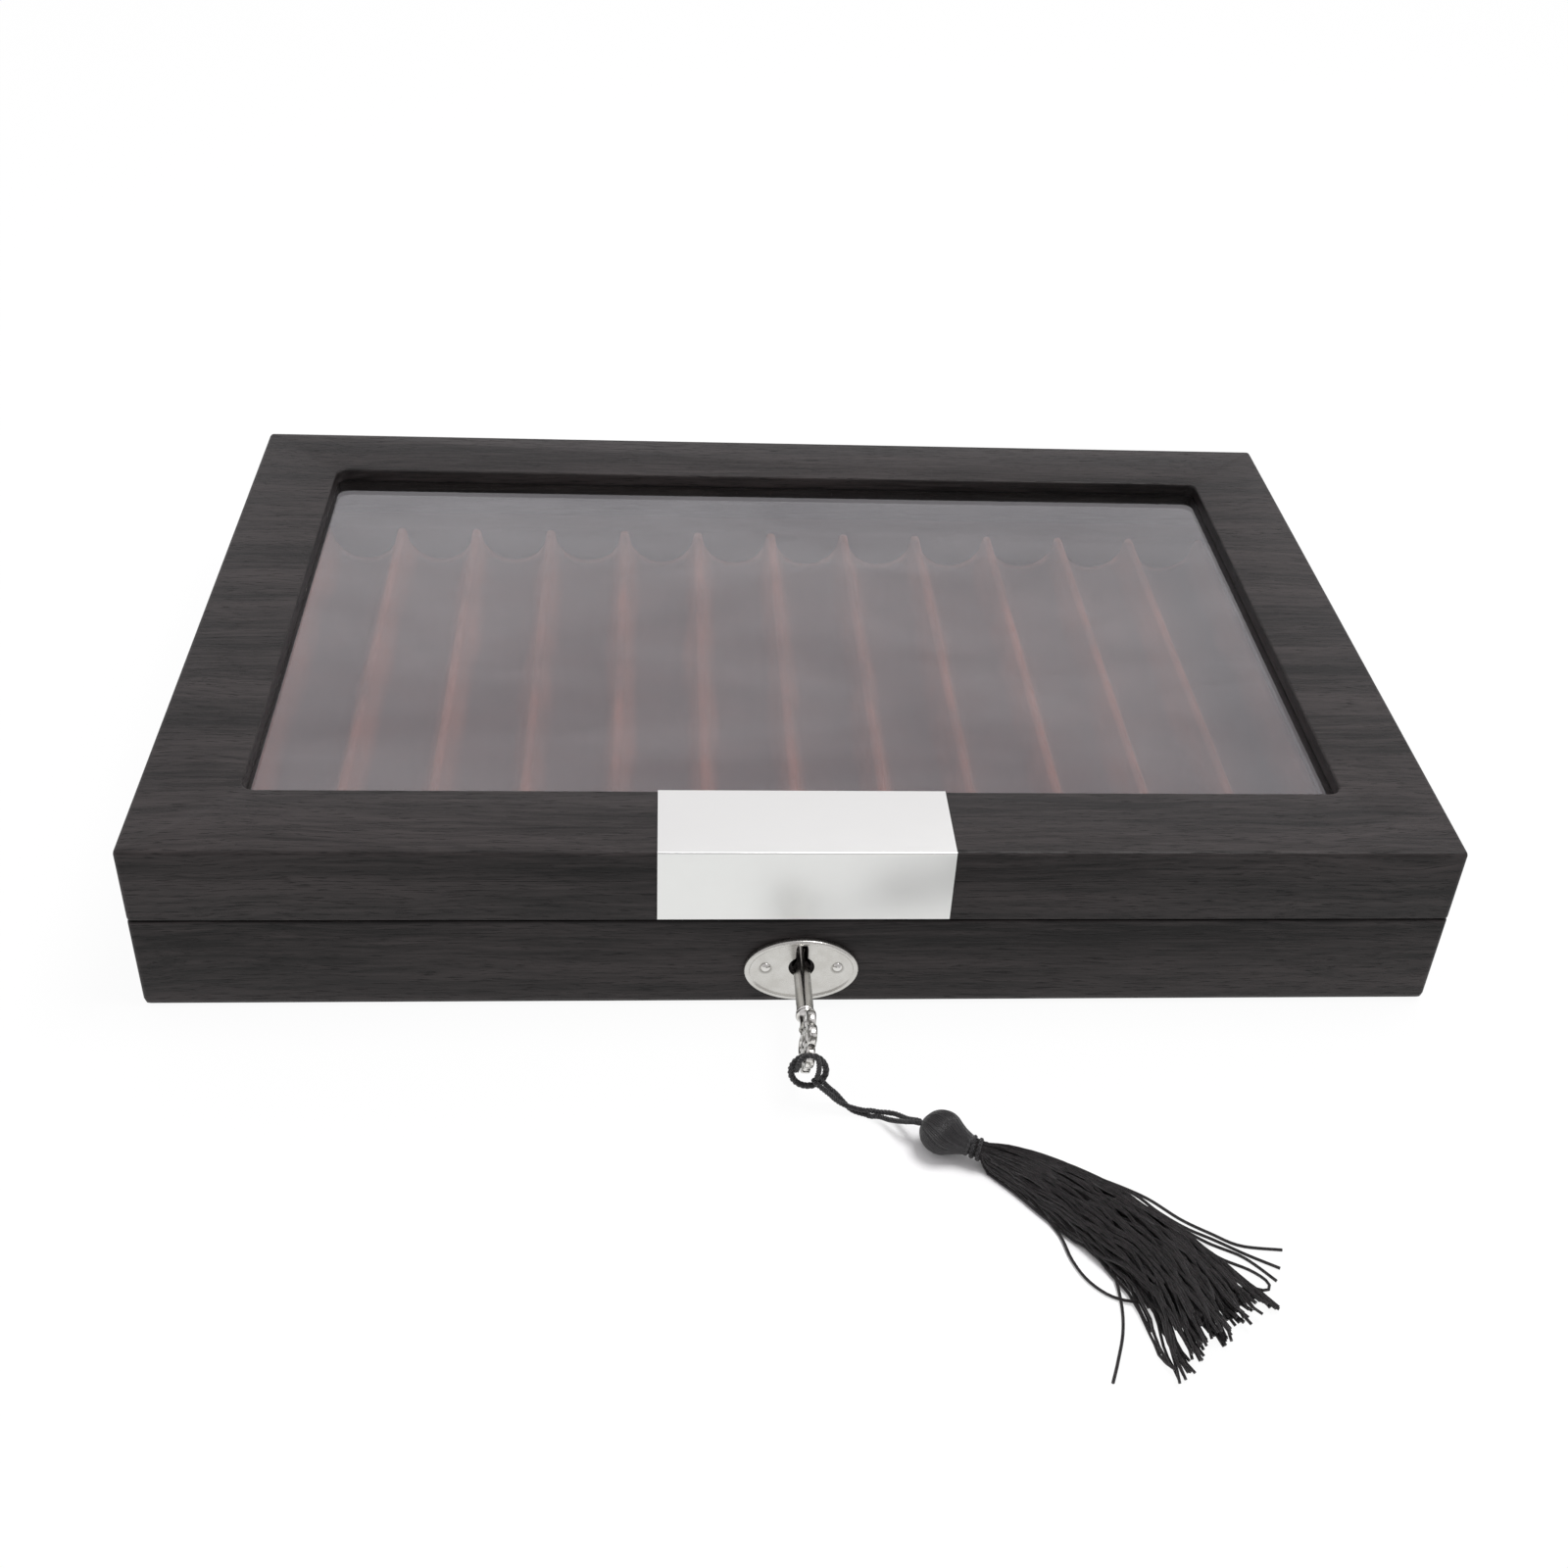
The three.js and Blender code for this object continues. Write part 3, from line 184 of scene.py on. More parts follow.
def plies(line, count, offset, pitch, closed=False):
    """The lines of a few plies that twist round one line, each at an offset from it."""
    ways = ways_along(line, closed)
    length = line_length(line)
    turns = max(1, round(length / pitch)) if closed else length / pitch
    side = ways[0].orthogonal().normalized()
    if closed:
        side = ways[0].cross((line[len(line) // 2] - line[0]).normalized()).normalized()
    made = [[] for _ in range(count)]
    for i, (place, way) in enumerate(zip(line, ways)):
        side = (side - way * side.dot(way)).normalized()
        up = way.cross(side)
        for ply in range(count):
            angle = 2 * math.pi * (turns * i / len(line) + ply / count)
            made[ply].append(place + offset * (math.cos(angle) * side + math.sin(angle) * up))
    return made


ply_lines = plies(trial_line, 3, 0.4 * MM, 3 * MM)
print("its", len(ply_lines), "plies are", round(line_length(ply_lines[0]) / MM, 1), "mm long each")

# %% [markdown]
# ## From lines to threads
#
# Blender sweeps a round section along a curve when the curve has a bevel depth. That is the plain way to
# make thread: one curve object holds hundreds of lines, and turning it into a mesh gives the tubes with
# caps and a map that runs round and along each thread. The twist of the yarn is later drawn on that map.
# The section has six flats, which smooth shading makes round at this size.

# %% Threads swept along lines
def thread_mesh(name, lines, radius, closed=False):
    """One mesh with a round thread along each line."""
    curve = bpy.data.curves.new(name, "CURVE")
    curve.dimensions = "3D"
    curve.bevel_depth = radius
    curve.bevel_resolution = 1
    curve.use_fill_caps = not closed
    for line in lines:
        spline = curve.splines.new("POLY")
        spline.points.add(len(line) - 1)
        for point, place in zip(spline.points, line):
            point.co = (*place, 1)
        spline.use_cyclic_u = closed
    swept = bpy.data.objects.new(name, curve)
    mesh = bpy.data.meshes.new_from_object(swept)
    bpy.data.objects.remove(swept)
    bpy.data.curves.remove(curve)
    mesh.name = name
    return mesh


trial = thread_mesh("trial thread", ply_lines, 0.4 * MM)
print("as a mesh they have", len(trial.polygons), "faces")
bpy.data.meshes.remove(trial)

# %% [markdown]
# ## Finished pieces
#
# Every new piece ends the same way. A modelled form gets its double points merged, its faces turned
# outwards and its smooth shading, with hard edges where it bends sharply. The mesh then becomes an object
# at the origin with one finish.

# %% From a form to a piece
def shaped(name, work, crease):
    """Turns a bmesh into a mesh whose round parts are smooth and whose real edges stay crisp."""
    bmesh.ops.remove_doubles(work, verts=work.verts, dist=1e-7)
    bmesh.ops.recalc_face_normals(work, faces=work.faces)
    mesh = bpy.data.meshes.new(name)
    work.to_mesh(mesh)
    work.free()
    mesh.shade_smooth()
    mesh.set_sharp_from_angle(angle=math.radians(crease))
    return mesh


def show(name, mesh, material):
    """Puts a finished mesh in the scene as a piece with its finish."""
    piece = bpy.data.objects.new(name, mesh)
    bpy.context.scene.collection.objects.link(piece)
    mesh.materials.clear()
    mesh.materials.append(material)
    return piece


def in_mm(sizes):
    """Sizes in millimetres, rounded to be printed."""
    return [round(x / MM, 1) for x in sizes]


print("pieces can be shaped and shown")

# %% [markdown]
# ## Finishes, in small parts
#
# A finish is a tree of nodes. A few helpers keep the trees short to write: one adds a node with its
# settings and connections, and the others are the sums, mixes and noises that every pattern needs.

# %% Helpers for trees of nodes
def put(tree, kind, settings=None, **sockets):
    """Adds a node. Sockets are named with _ for a space, and s0, s1 stand for the first and second one."""
    made = tree.nodes.new(kind)
    for name, value in (settings or {}).items():
        setattr(made, name, value)
    for name, value in sockets.items():
        numbered = name[0] == "s" and name[1:].isdigit()
        socket = made.inputs[int(name[1:])] if numbered else made.inputs[name.replace("_", " ")]
        if isinstance(value, bpy.types.NodeSocket):
            tree.links.new(value, socket)
        else:
            socket.default_value = value
    return made


def maths(tree, operation, first, second=0.0, clamp=False):
    settings = {"operation": operation, "use_clamp": clamp}
    return put(tree, "ShaderNodeMath", settings, s0=first, s1=second).outputs[0]


def vectors(tree, operation, first, second):
    """Puts two vectors together. A distance or a dot product comes out as a number."""
    made = put(tree, "ShaderNodeVectorMath", {"operation": operation}, s0=first, s1=second)
    return made.outputs["Value" if operation in ("DISTANCE", "DOT_PRODUCT") else "Vector"]


def axes(tree, vector):
    return put(tree, "ShaderNodeSeparateXYZ", None, Vector=vector).outputs


def between(tree, value, low, high, to_low=0.0, to_high=1.0):
    """The value's place between low and high, given out between two other numbers."""
    ends = {"From_Min": low, "From_Max": high, "To_Min": to_low, "To_Max": to_high}
    return put(tree, "ShaderNodeMapRange", None, Value=value, **ends).outputs["Result"]


def mixed(tree, share, first, second):
    """Two colours mixed by a share."""
    made = tree.nodes.new("ShaderNodeMix")
    made.data_type = "RGBA"
    for socket, value in ((made.inputs[0], share), (made.inputs[6], first), (made.inputs[7], second)):
        if isinstance(value, bpy.types.NodeSocket):
            tree.links.new(value, socket)
        else:
            socket.default_value = value if isinstance(value, float) else (*value, 1)
    return made.outputs[2]


print("sums and mixes ready")

# %% [markdown]
# Nearly every pattern starts from the place on the object, in metres, and turns it into millimetres or
# stretches it along one axis. A soft noise is then read at that place.

# %% Helpers for places and noises
def object_place(tree):
    return tree.nodes.new("ShaderNodeTexCoord").outputs["Object"]


def stretch(tree, place, scale):
    """The place multiplied by a scale along each axis."""
    return vectors(tree, "MULTIPLY", place, scale)


def in_millimetres(tree, place):
    return stretch(tree, place, (1000, 1000, 1000))


def cloud(tree, place, scale=1.0, detail=2.0, roughness=0.5):
    """A soft noise from 0 to 1."""
    settings = {"Scale": scale, "Detail": detail, "Roughness": roughness}
    return put(tree, "ShaderNodeTexNoise", None, Vector=place, **settings).outputs["Fac"]


print("places and noises ready")

# %% [markdown]
# ## Patterns and finishes
#
# Patterns that several finishes share are made as node groups, each with named inputs and outputs, so that
# a finish says only how coarse and how strong the pattern is. The shader itself stays in the finish. What
# is the same all over the surface is a number on the shader's own socket, and only what changes is
# connected.

# %% Helpers for patterns and finishes
def group(name, inputs, outputs):
    """An empty node group with vector or number inputs and number outputs, and its two end nodes."""
    tree = bpy.data.node_groups.new(name, "ShaderNodeTree")
    for label, kind in inputs.items():
        tree.interface.new_socket(label, in_out="INPUT", socket_type=f"NodeSocket{kind}")
    for label in outputs:
        tree.interface.new_socket(label, in_out="OUTPUT", socket_type="NodeSocketFloat")
    return tree, tree.nodes.new("NodeGroupInput").outputs, tree.nodes.new("NodeGroupOutput").inputs


def finish(name, colour, roughness, **sockets):
    """A new material with one shader, whose own sockets hold every number that is the same all over."""
    material = bpy.data.materials.new(name)
    material.use_nodes = True
    material.diffuse_color = (*colour, 1)
    tree = material.node_tree
    shader = tree.nodes["Principled BSDF"]
    shader.inputs["Base Color"].default_value = (*colour, 1)
    shader.inputs["Roughness"].default_value = roughness
    for label, value in sockets.items():
        shader.inputs[label.replace("_", " ")].default_value = value
    return material, tree, shader.inputs


def use(tree, pattern, **sockets):
    return put(tree, "ShaderNodeGroup", {"node_tree": pattern}, **sockets).outputs


def bump(tree, inputs, height, depth, strength=1.0):
    """Lets a height pattern of this depth in metres tilt the light on the surface."""
    made = put(tree, "ShaderNodeBump", None, Height=height, Distance=depth, Strength=strength)
    tree.links.new(made.outputs[0], inputs["Normal"])


print("finish helpers ready")

# %% [markdown]
# ## Open-grain black veneer
#
# The case is veneered and then stained black under a satin lacquer. The pores stay open, so the light
# breaks on thousands of short dashes. Seen from above, the grain runs along the case on every rail, also
# across the two side rails, where it waves more. On the two end faces it lies level. Three patterns
# stretched along the grain give it: broad bands of tone, fine streaks, and the pores, which are thin, dark
# and a little deep. A slow cloud pushes all of them sideways to make the wave.

# %% The place along the grain
def along_grain(tree, inside, face):
    """The place in millimetres with its first axis along the grain. The axes swap on the two end faces."""
    on_end = maths(tree, "GREATER_THAN", maths(tree, "ABSOLUTE", axes(tree, face)["X"]), 0.75)
    swapped = put(tree, "ShaderNodeCombineXYZ", None, X=inside["Y"], Y=inside["X"], Z=inside["Z"]).outputs[0]
    straight = put(tree, "ShaderNodeCombineXYZ", None, X=inside["X"], Y=inside["Y"], Z=inside["Z"]).outputs[0]
    chosen = tree.nodes.new("ShaderNodeMix")
    chosen.data_type = "VECTOR"
    for socket, value in ((0, on_end), (4, straight), (5, swapped)):
        tree.links.new(value, chosen.inputs[socket])
    return chosen.outputs[1]


def waved_grain(tree, place, inside, wave):
    """The place pushed sideways by a slow cloud, further on the side rails than between them."""
    slow = stretch(tree, place, (0.013, 0.03, 0.03))
    push = put(tree, "ShaderNodeTexNoise", None, Vector=slow, Scale=1.0, Detail=2.0, Roughness=0.5).outputs
    push = vectors(tree, "SUBTRACT", push["Color"], (0.5, 0.5, 0.5))
    reach = between(tree, maths(tree, "ABSOLUTE", inside["X"]), 115.0, 150.0, 5.0, 12.0)
    reach = maths(tree, "MULTIPLY", reach, wave)
    push = put(tree, "ShaderNodeVectorMath", {"operation": "SCALE"}, s0=push, Scale=reach).outputs[0]
    return vectors(tree, "ADD", place, push)


print("grain runs along the case and waves by 5 to 12 mm")

# %% [markdown]
# The three patterns differ only in how many times they change in a millimetre, along the grain and across
# it.

# %% The open grain pattern
def open_grain():
    inputs = {"Place": "Vector", "Face": "Vector", "Wave": "Float"}
    tree, given, out = group("open grain", inputs, ["Tone", "Pores", "Height"])
    inside = axes(tree, in_millimetres(tree, given["Place"]))
    place = waved_grain(tree, along_grain(tree, inside, given["Face"]), inside, given["Wave"])

    def stretched(along, across, detail, roughness):
        return cloud(tree, stretch(tree, place, (along, across, across)), 1.0, detail, roughness)

    bands = stretched(0.006, 0.09, 2.0, 0.5)
    streaks = stretched(0.035, 0.75, 5.0, 0.65)
    pores = between(tree, stretched(0.16, 2.9, 2.0, 0.55), 0.56, 0.68)
    tone = maths(tree, "ADD", maths(tree, "MULTIPLY", bands, 0.45), maths(tree, "MULTIPLY", streaks, 0.55))
    tree.links.new(between(tree, tone, 0.39, 0.61), out["Tone"])
    tree.links.new(pores, out["Pores"])
    tree.links.new(maths(tree, "SUBTRACT", maths(tree, "MULTIPLY", streaks, 0.8), pores), out["Height"])
    return tree


grain_pattern = open_grain()
given_out = [s.name for s in grain_pattern.interface.items_tree if s.in_out == "OUTPUT"]
print("open grain with outputs", given_out)

# %% [markdown]
# ## Small wear and fingermarks
#
# Nickel and steel are never quite clean. Soft clouds of grease change their tone and how sharply they
# mirror, and fine lines from polishing run one way. The lines also tilt the light a little.

# %% The polish pattern
def polish_lines():
    inputs = {"Place": "Vector", "Lines": "Vector"}
    tree, given, out = group("polish", inputs, ["Marks", "Scratches", "Height"])
    place = in_millimetres(tree, given["Place"])
    marks = cloud(tree, place, 0.22, 3.0, 0.6)
    scratches = cloud(tree, stretch(tree, place, given["Lines"]), 1.0, 3.0, 0.6)
    tree.links.new(between(tree, marks, 0.35, 0.65), out["Marks"])
    tree.links.new(between(tree, scratches, 0.35, 0.65), out["Scratches"])
    tree.links.new(scratches, out["Height"])
    return tree


polish_pattern = polish_lines()
print("polish pattern of", len(polish_pattern.nodes), "nodes")

# %% [markdown]
# ## Suede, felt and fibreboard
#
# The tray is covered with suede. Its nap lies in soft patches where it was stroked, and single fibres make
# a grain too fine to count. Felt on the underside and the bare board above it are the same idea with
# coarser fibres and no stroked patches, so one pattern serves all three.

# %% The nap pattern
def stroked_nap():
    inputs = {"Place": "Vector", "Fibres": "Float"}
    tree, given, out = group("nap", inputs, ["Patches", "Fibres", "Height"])
    place = in_millimetres(tree, given["Place"])
    patches = cloud(tree, place, 0.07, 3.0, 0.55)
    fibres = cloud(tree, place, given["Fibres"], 3.0, 0.7)
    tree.links.new(between(tree, patches, 0.35, 0.65), out["Patches"])
    tree.links.new(between(tree, fibres, 0.3, 0.7), out["Fibres"])
    tree.links.new(fibres, out["Height"])
    return tree


nap_pattern = stroked_nap()
print("nap pattern of", len(nap_pattern.nodes), "nodes")

# %% [markdown]
# ## Twisted yarn
#
# Every thread of the tassel is a yarn of twisted fibres. On the map of a swept thread one axis runs round
# it and the other along it, so a stripe that climbs both is the twist. The number of twists along the
# thread is an input, because a strand of the skirt is much longer than a thread on the head.

# %% The yarn pattern
def yarn_twist():
    inputs = {"Map": "Vector", "Twists": "Float", "Place": "Vector"}
    tree, given, out = group("yarn", inputs, ["Groove", "Tone", "Height"])
    on_thread = axes(tree, given["Map"])
    along = maths(tree, "MULTIPLY", on_thread["Y"], given["Twists"])
    climb = maths(tree, "ADD", along, maths(tree, "MULTIPLY", on_thread["X"], 2.0))
    wave = maths(tree, "SINE", maths(tree, "MULTIPLY", climb, 2 * math.pi))
    height = between(tree, wave, -1.0, 1.0)
    tone = cloud(tree, in_millimetres(tree, given["Place"]), 0.9, 2.0)
    # Groove is the mask along which the thread finishes paint shade into the twist.
    tree.links.new(maths(tree, "SUBTRACT", 1.0, height), out["Groove"])
    tree.links.new(between(tree, tone, 0.3, 0.7), out["Tone"])
    tree.links.new(height, out["Height"])
    return tree


yarn_pattern = yarn_twist()
print("patterns:", ", ".join(g.name for g in bpy.data.node_groups))

# %% [markdown]
# ## The veneer's finish
#
# Black wood is never flat black: the lacquer shows a warm brown where it is thin and a grey sheen where it
# mirrors the room. The base colour stays near black, the tone of the grain lightens it a little, and the
# pores are darker and duller than the wood between them.

# %% Veneer
def veneer_finish():
    dark_wood, light_wood = (0.0052, 0.0042, 0.0041), (0.036, 0.0303, 0.0300)
    in_pore = (0.0025, 0.0020, 0.0020)
    material, tree, inputs = finish("black veneer", (0.023, 0.020, 0.020), 0.42, Specular_IOR_Level=0.21)
    coordinates = tree.nodes.new("ShaderNodeTexCoord").outputs
    grain = use(tree, grain_pattern, Place=coordinates["Object"], Face=coordinates["Normal"], Wave=1.0)
    colour = mixed(tree, grain["Tone"], dark_wood, light_wood)
    colour = mixed(tree, maths(tree, "MULTIPLY", grain["Pores"], 0.75), colour, in_pore)
    tree.links.new(colour, inputs["Base Color"])
    dull = between(tree, grain["Tone"], 0.0, 1.0, 0.42, 0.50)
    dull = maths(tree, "ADD", dull, maths(tree, "MULTIPLY", grain["Pores"], 0.15))
    tree.links.new(dull, inputs["Roughness"])
    bump(tree, inputs, grain["Height"], 0.10 * MM, 0.6)
    return material


veneer = veneer_finish()
print("finish made:", veneer.name)

# %% [markdown]
# ## Suede on the tray
#
# The lining is a dark red-brown suede with a faint sheen at its edges. On the grooved tray a painted
# highlight makes it lighter and redder on and beside each ridge, and a little more on each crest, where the
# light from above falls. The ridges stand at an even pitch, so the distance to the nearest one comes from a
# zigzag of the place across the tray. A mask of that distance, made a little uneven, lays the painted
# highlight over the plain suede.

# %% Suede
groove_pitch = 25 * MM


def suede_finish(name):
    low_nap, high_nap, fibre = (0.015, 0.0072, 0.0072), (0.026, 0.0118, 0.0115), (0.075, 0.028, 0.021)
    sheen = {"Sheen_Weight": 0.25, "Sheen_Roughness": 0.45, "Sheen_Tint": (0.75, 0.36, 0.28, 1)}
    material, tree, inputs = finish(name, (0.07, 0.022, 0.017), 0.95, **sheen)
    nap = use(tree, nap_pattern, Place=object_place(tree), Fibres=4.5)
    colour = mixed(tree, nap["Patches"], low_nap, high_nap)
    colour = mixed(tree, maths(tree, "MULTIPLY", nap["Fibres"], 0.25), colour, fibre)
    tree.links.new(colour, inputs["Base Color"])
    bump(tree, inputs, nap["Height"], 0.06 * MM, 0.5)
    return material


def painted_ridge_highlight(tree):
    """1 where the ridge highlight is painted: in a soft band along each ridge, and a little on its crest."""
    place = object_place(tree)
    across = axes(tree, place)
    sway = cloud(tree, stretch(tree, place, (30, 22, 0)), 1.0, 2.0)
    swayed = maths(tree, "ADD", across["X"], between(tree, sway, 0.3, 0.7, -1.2 * MM, 1.2 * MM))
    from_ridge = maths(tree, "PINGPONG", swayed, groove_pitch / 2)
    band = between(tree, from_ridge, 2.4 * MM, 5.4 * MM, 0.50, 0.0)
    crest = between(tree, across["Z"], 24.5 * MM, 27.6 * MM, 0.0, 0.15)
    patchy = cloud(tree, stretch(tree, place, (60, 30, 60)), 1.0, 3.0)
    patchy = between(tree, patchy, 0.35, 0.62, 0.35, 1.0)
    return maths(tree, "MULTIPLY", maths(tree, "ADD", band, crest, clamp=True), patchy)


def lay_over(material, mask, colour):
    """Lays another colour over a finish where a mask says. The mask is a function of the material's tree."""
    tree = material.node_tree
    base = tree.nodes["Principled BSDF"].inputs["Base Color"]
    clean = base.links[0].from_socket
    tree.links.new(mixed(tree, mask(tree), clean, colour), base)


suede = suede_finish("red-brown suede")
suede_with_painted_ridge_highlight = suede_finish("suede of the grooved tray")
# The painted ridge highlight: a lighter, redder suede colour laid along and on each ridge.
lay_over(suede_with_painted_ridge_highlight, painted_ridge_highlight, (0.18, 0.055, 0.036))
print("finishes made:", suede.name, "and", suede_with_painted_ridge_highlight.name)

# %% [markdown]
# ## Felt and the bare board
#
# Both are seen only when the case is turned over. Felt is black and fibrous, and the board is pressed from
# brown wood fibre without any veneer.

# %% Felt and board
def fibre_finish(name, colour, dark, light, fibres, depth, strength, roughness, **sockets):
    material, tree, inputs = finish(name, colour, roughness, **sockets)
    nap = use(tree, nap_pattern, Place=object_place(tree), Fibres=fibres)
    tree.links.new(mixed(tree, nap["Fibres"], dark, light), inputs["Base Color"])
    bump(tree, inputs, nap["Height"], depth, strength)
    return material


felt = fibre_finish(
    "black felt", (0.012, 0.011, 0.012), (0.007, 0.0065, 0.007), (0.026, 0.024, 0.026),
    fibres=1.6, depth=0.3 * MM, strength=0.9, roughness=1.0, Sheen_Weight=0.3, Sheen_Roughness=0.6,
)
board = fibre_finish(
    "bare fibreboard", (0.15, 0.085, 0.04), (0.10, 0.055, 0.027), (0.22, 0.135, 0.07),
    fibres=0.9, depth=0.1 * MM, strength=0.6, roughness=0.85,
)
print("finishes made:", felt.name, "and", board.name)

# %% [markdown]
# ## Metals
#
# The nameplate is satin: polished along its length, so it shows a soft grey sheen and no clear picture of
# the room. The key, its oval plate and the hinges are nickel, brighter and smoother. The lock's inside is
# plain steel, brushed and a little uneven. They are one finish with different numbers: two tones, the range
# of its roughness, and how fine its polishing lines are along each axis.

# %% Metals
def metal_finish(name, colour, worn, rough_range, lines, depth):
    material, tree, inputs = finish(name, colour, sum(rough_range) / 2, Metallic=1.0)
    polish = use(tree, polish_pattern, Place=object_place(tree), Lines=lines)
    tone = mixed(tree, maths(tree, "MULTIPLY", polish["Marks"], 0.6), colour, worn)
    tree.links.new(tone, inputs["Base Color"])
    dull = between(tree, polish["Marks"], 0.0, 1.0, *rough_range)
    dull = maths(tree, "ADD", dull, maths(tree, "MULTIPLY", polish["Scratches"], 0.06))
    tree.links.new(dull, inputs["Roughness"])
    bump(tree, inputs, polish["Height"], depth, 0.3)
    return material


satin_plate = metal_finish(
    "satin nameplate", (0.775, 0.78, 0.765), (0.768, 0.772, 0.757),
    rough_range=(0.29, 0.31), lines=(0.12, 14.0, 14.0), depth=0.004 * MM,
)
lock_steel = metal_finish(
    "lock steel", (0.62, 0.61, 0.59), (0.48, 0.46, 0.42),
    rough_range=(0.30, 0.45), lines=(9.0, 0.3, 0.3), depth=0.010 * MM,
)
nickel = metal_finish(
    "bright nickel", (0.70, 0.69, 0.67), (0.60, 0.58, 0.54),
    rough_range=(0.06, 0.14), lines=(3.0, 3.0, 3.0), depth=0.003 * MM,
)
oval_nickel = metal_finish(
    "satin nickel of the oval plate", (0.62, 0.61, 0.585), (0.52, 0.505, 0.47),
    rough_range=(0.18, 0.28), lines=(0.4, 8.0, 8.0), depth=0.008 * MM,
)
key_nickel = metal_finish(
    "worn nickel of the key with painted dark reflections", (0.80, 0.79, 0.77), (0.72, 0.70, 0.66),
    rough_range=(0.07, 0.13), lines=(3.0, 3.0, 3.0), depth=0.003 * MM,
)
print("metals:", ", ".join(m.name for m in (satin_plate, lock_steel, nickel, oval_nickel, key_nickel)))

# %% [markdown]
# ## Painted dark reflections and painted shadow
#
# The key's nickel is painted darker on its flanks, as a painted reflection of the dark case beside it, and
# in spots between the rings of its bow. On the oval plate a painted shadow rings each pin, a little below
# its middle. Both are masks that lay a dark grey over the clean metal.

# %% Painted dark reflections and painted shadow
def key_painted_dark_reflections(tree):
    """Painted dark reflections: the nickel is darkened on the key's flanks, which mirror the dark case, and
    in spots on its pierced bow.
    """
    bow_start = -134.5 * MM
    coordinates = tree.nodes.new("ShaderNodeTexCoord").outputs
    flank = maths(tree, "ABSOLUTE", axes(tree, coordinates["Normal"])["X"])
    flank = between(tree, flank, 0.50, 0.92, 0.0, 0.72)
    on_bow = axes(tree, coordinates["Object"])["Y"]
    on_bow = between(tree, on_bow, bow_start - 1 * MM, bow_start, 1.0, 0.0)
    spots = cloud(tree, in_millimetres(tree, coordinates["Object"]), 0.75, 2.0)
    spots = maths(tree, "MULTIPLY", between(tree, spots, 0.47, 0.57, 0.0, 0.85), on_bow)
    return maths(tree, "MAXIMUM", flank, spots)


def pin_painted_shadow(tree):
    """Painted shadow: a dark ring round each pin of the oval plate, a little lower than the pin's middle."""
    place = object_place(tree)
    rings = []
    for node in ("lock_pin_left", "lock_pin_right"):
        low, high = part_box(node)
        spot = (low + high) / 2 - Vector((0, 0, 0.45 * MM))
        apart = vectors(tree, "DISTANCE", stretch(tree, place, (1, 0, 1)), (spot.x, 0, spot.z))
        rings.append(between(tree, apart, 1.2 * MM, 2.0 * MM, 0.7, 0.0))
    return maths(tree, "MAXIMUM", *rings)


# Painted dark reflections on the key's flanks and in spots on its bow, in a dark grey.
lay_over(key_nickel, key_painted_dark_reflections, (0.12, 0.115, 0.10))
# A painted shadow round each pin of the oval plate, in a dark grey.
lay_over(oval_nickel, pin_painted_shadow, (0.15, 0.14, 0.125))
print("painted dark reflections on the key, painted shadow round two pins")

# %% [markdown]
# ## Glass
#
# Glass is clear and mirrors the pale room, which is what veils the tray in the picture. Faint wisps of haze
# in a thin coat make the veil uneven, as breath and a cloth leave it. Light bent by glass makes the tray
# under it noisy, so a plain transparent shader takes over for the rays that carry light to the tray and
# back.

# %% Glass
def glass_finish():
    clear = {"Transmission_Weight": 1.0, "IOR": 1.52, "Coat_Roughness": 0.06}
    tint = (0.92, 0.88, 1.0, 1)
    material, tree, inputs = finish("clear glass", (0.98, 0.99, 0.985), 0.0, Specular_Tint=tint, **clear)
    along_wisps = {"Rotation": (0, 0, math.radians(-28)), "Scale": (9, 26, 9)}
    turned = put(tree, "ShaderNodeMapping", None, Vector=object_place(tree), **along_wisps).outputs[0]
    curls = {"Scale": 1.0, "Detail": 3.0, "Roughness": 0.55, "Distortion": 0.8}
    wisps = put(tree, "ShaderNodeTexNoise", None, Vector=turned, **curls).outputs["Fac"]
    tree.links.new(between(tree, wisps, 0.35, 0.68, 0.22, 0.70), inputs["Coat Weight"])
    bump(tree, inputs, wisps, 0.3 * MM, 0.12)
    shader = tree.nodes["Principled BSDF"]
    open_way = put(tree, "ShaderNodeBsdfTransparent", None, Color=(0.9, 0.92, 0.91, 1))
    path = tree.nodes.new("ShaderNodeLightPath").outputs
    carrying = maths(tree, "MAXIMUM", path["Is Shadow Ray"], path["Is Diffuse Ray"])
    both = put(tree, "ShaderNodeMixShader", None, s0=carrying, s1=shader.outputs[0], s2=open_way.outputs[0])
    tree.links.new(both.outputs[0], tree.nodes["Material Output"].inputs["Surface"])
    return material


glass = glass_finish()
print("finish made:", glass.name)

# %% [markdown]
# ## Thread
#
# The tassel is black rayon. Its strands are matt in the heap and glint where single ones catch the light,
# the cord is a little paler, and the threads on the head are smooth and satin. Each thread finish darkens
# its own colour with painted shade in the grooves of the twist and lightens it in slow patches.

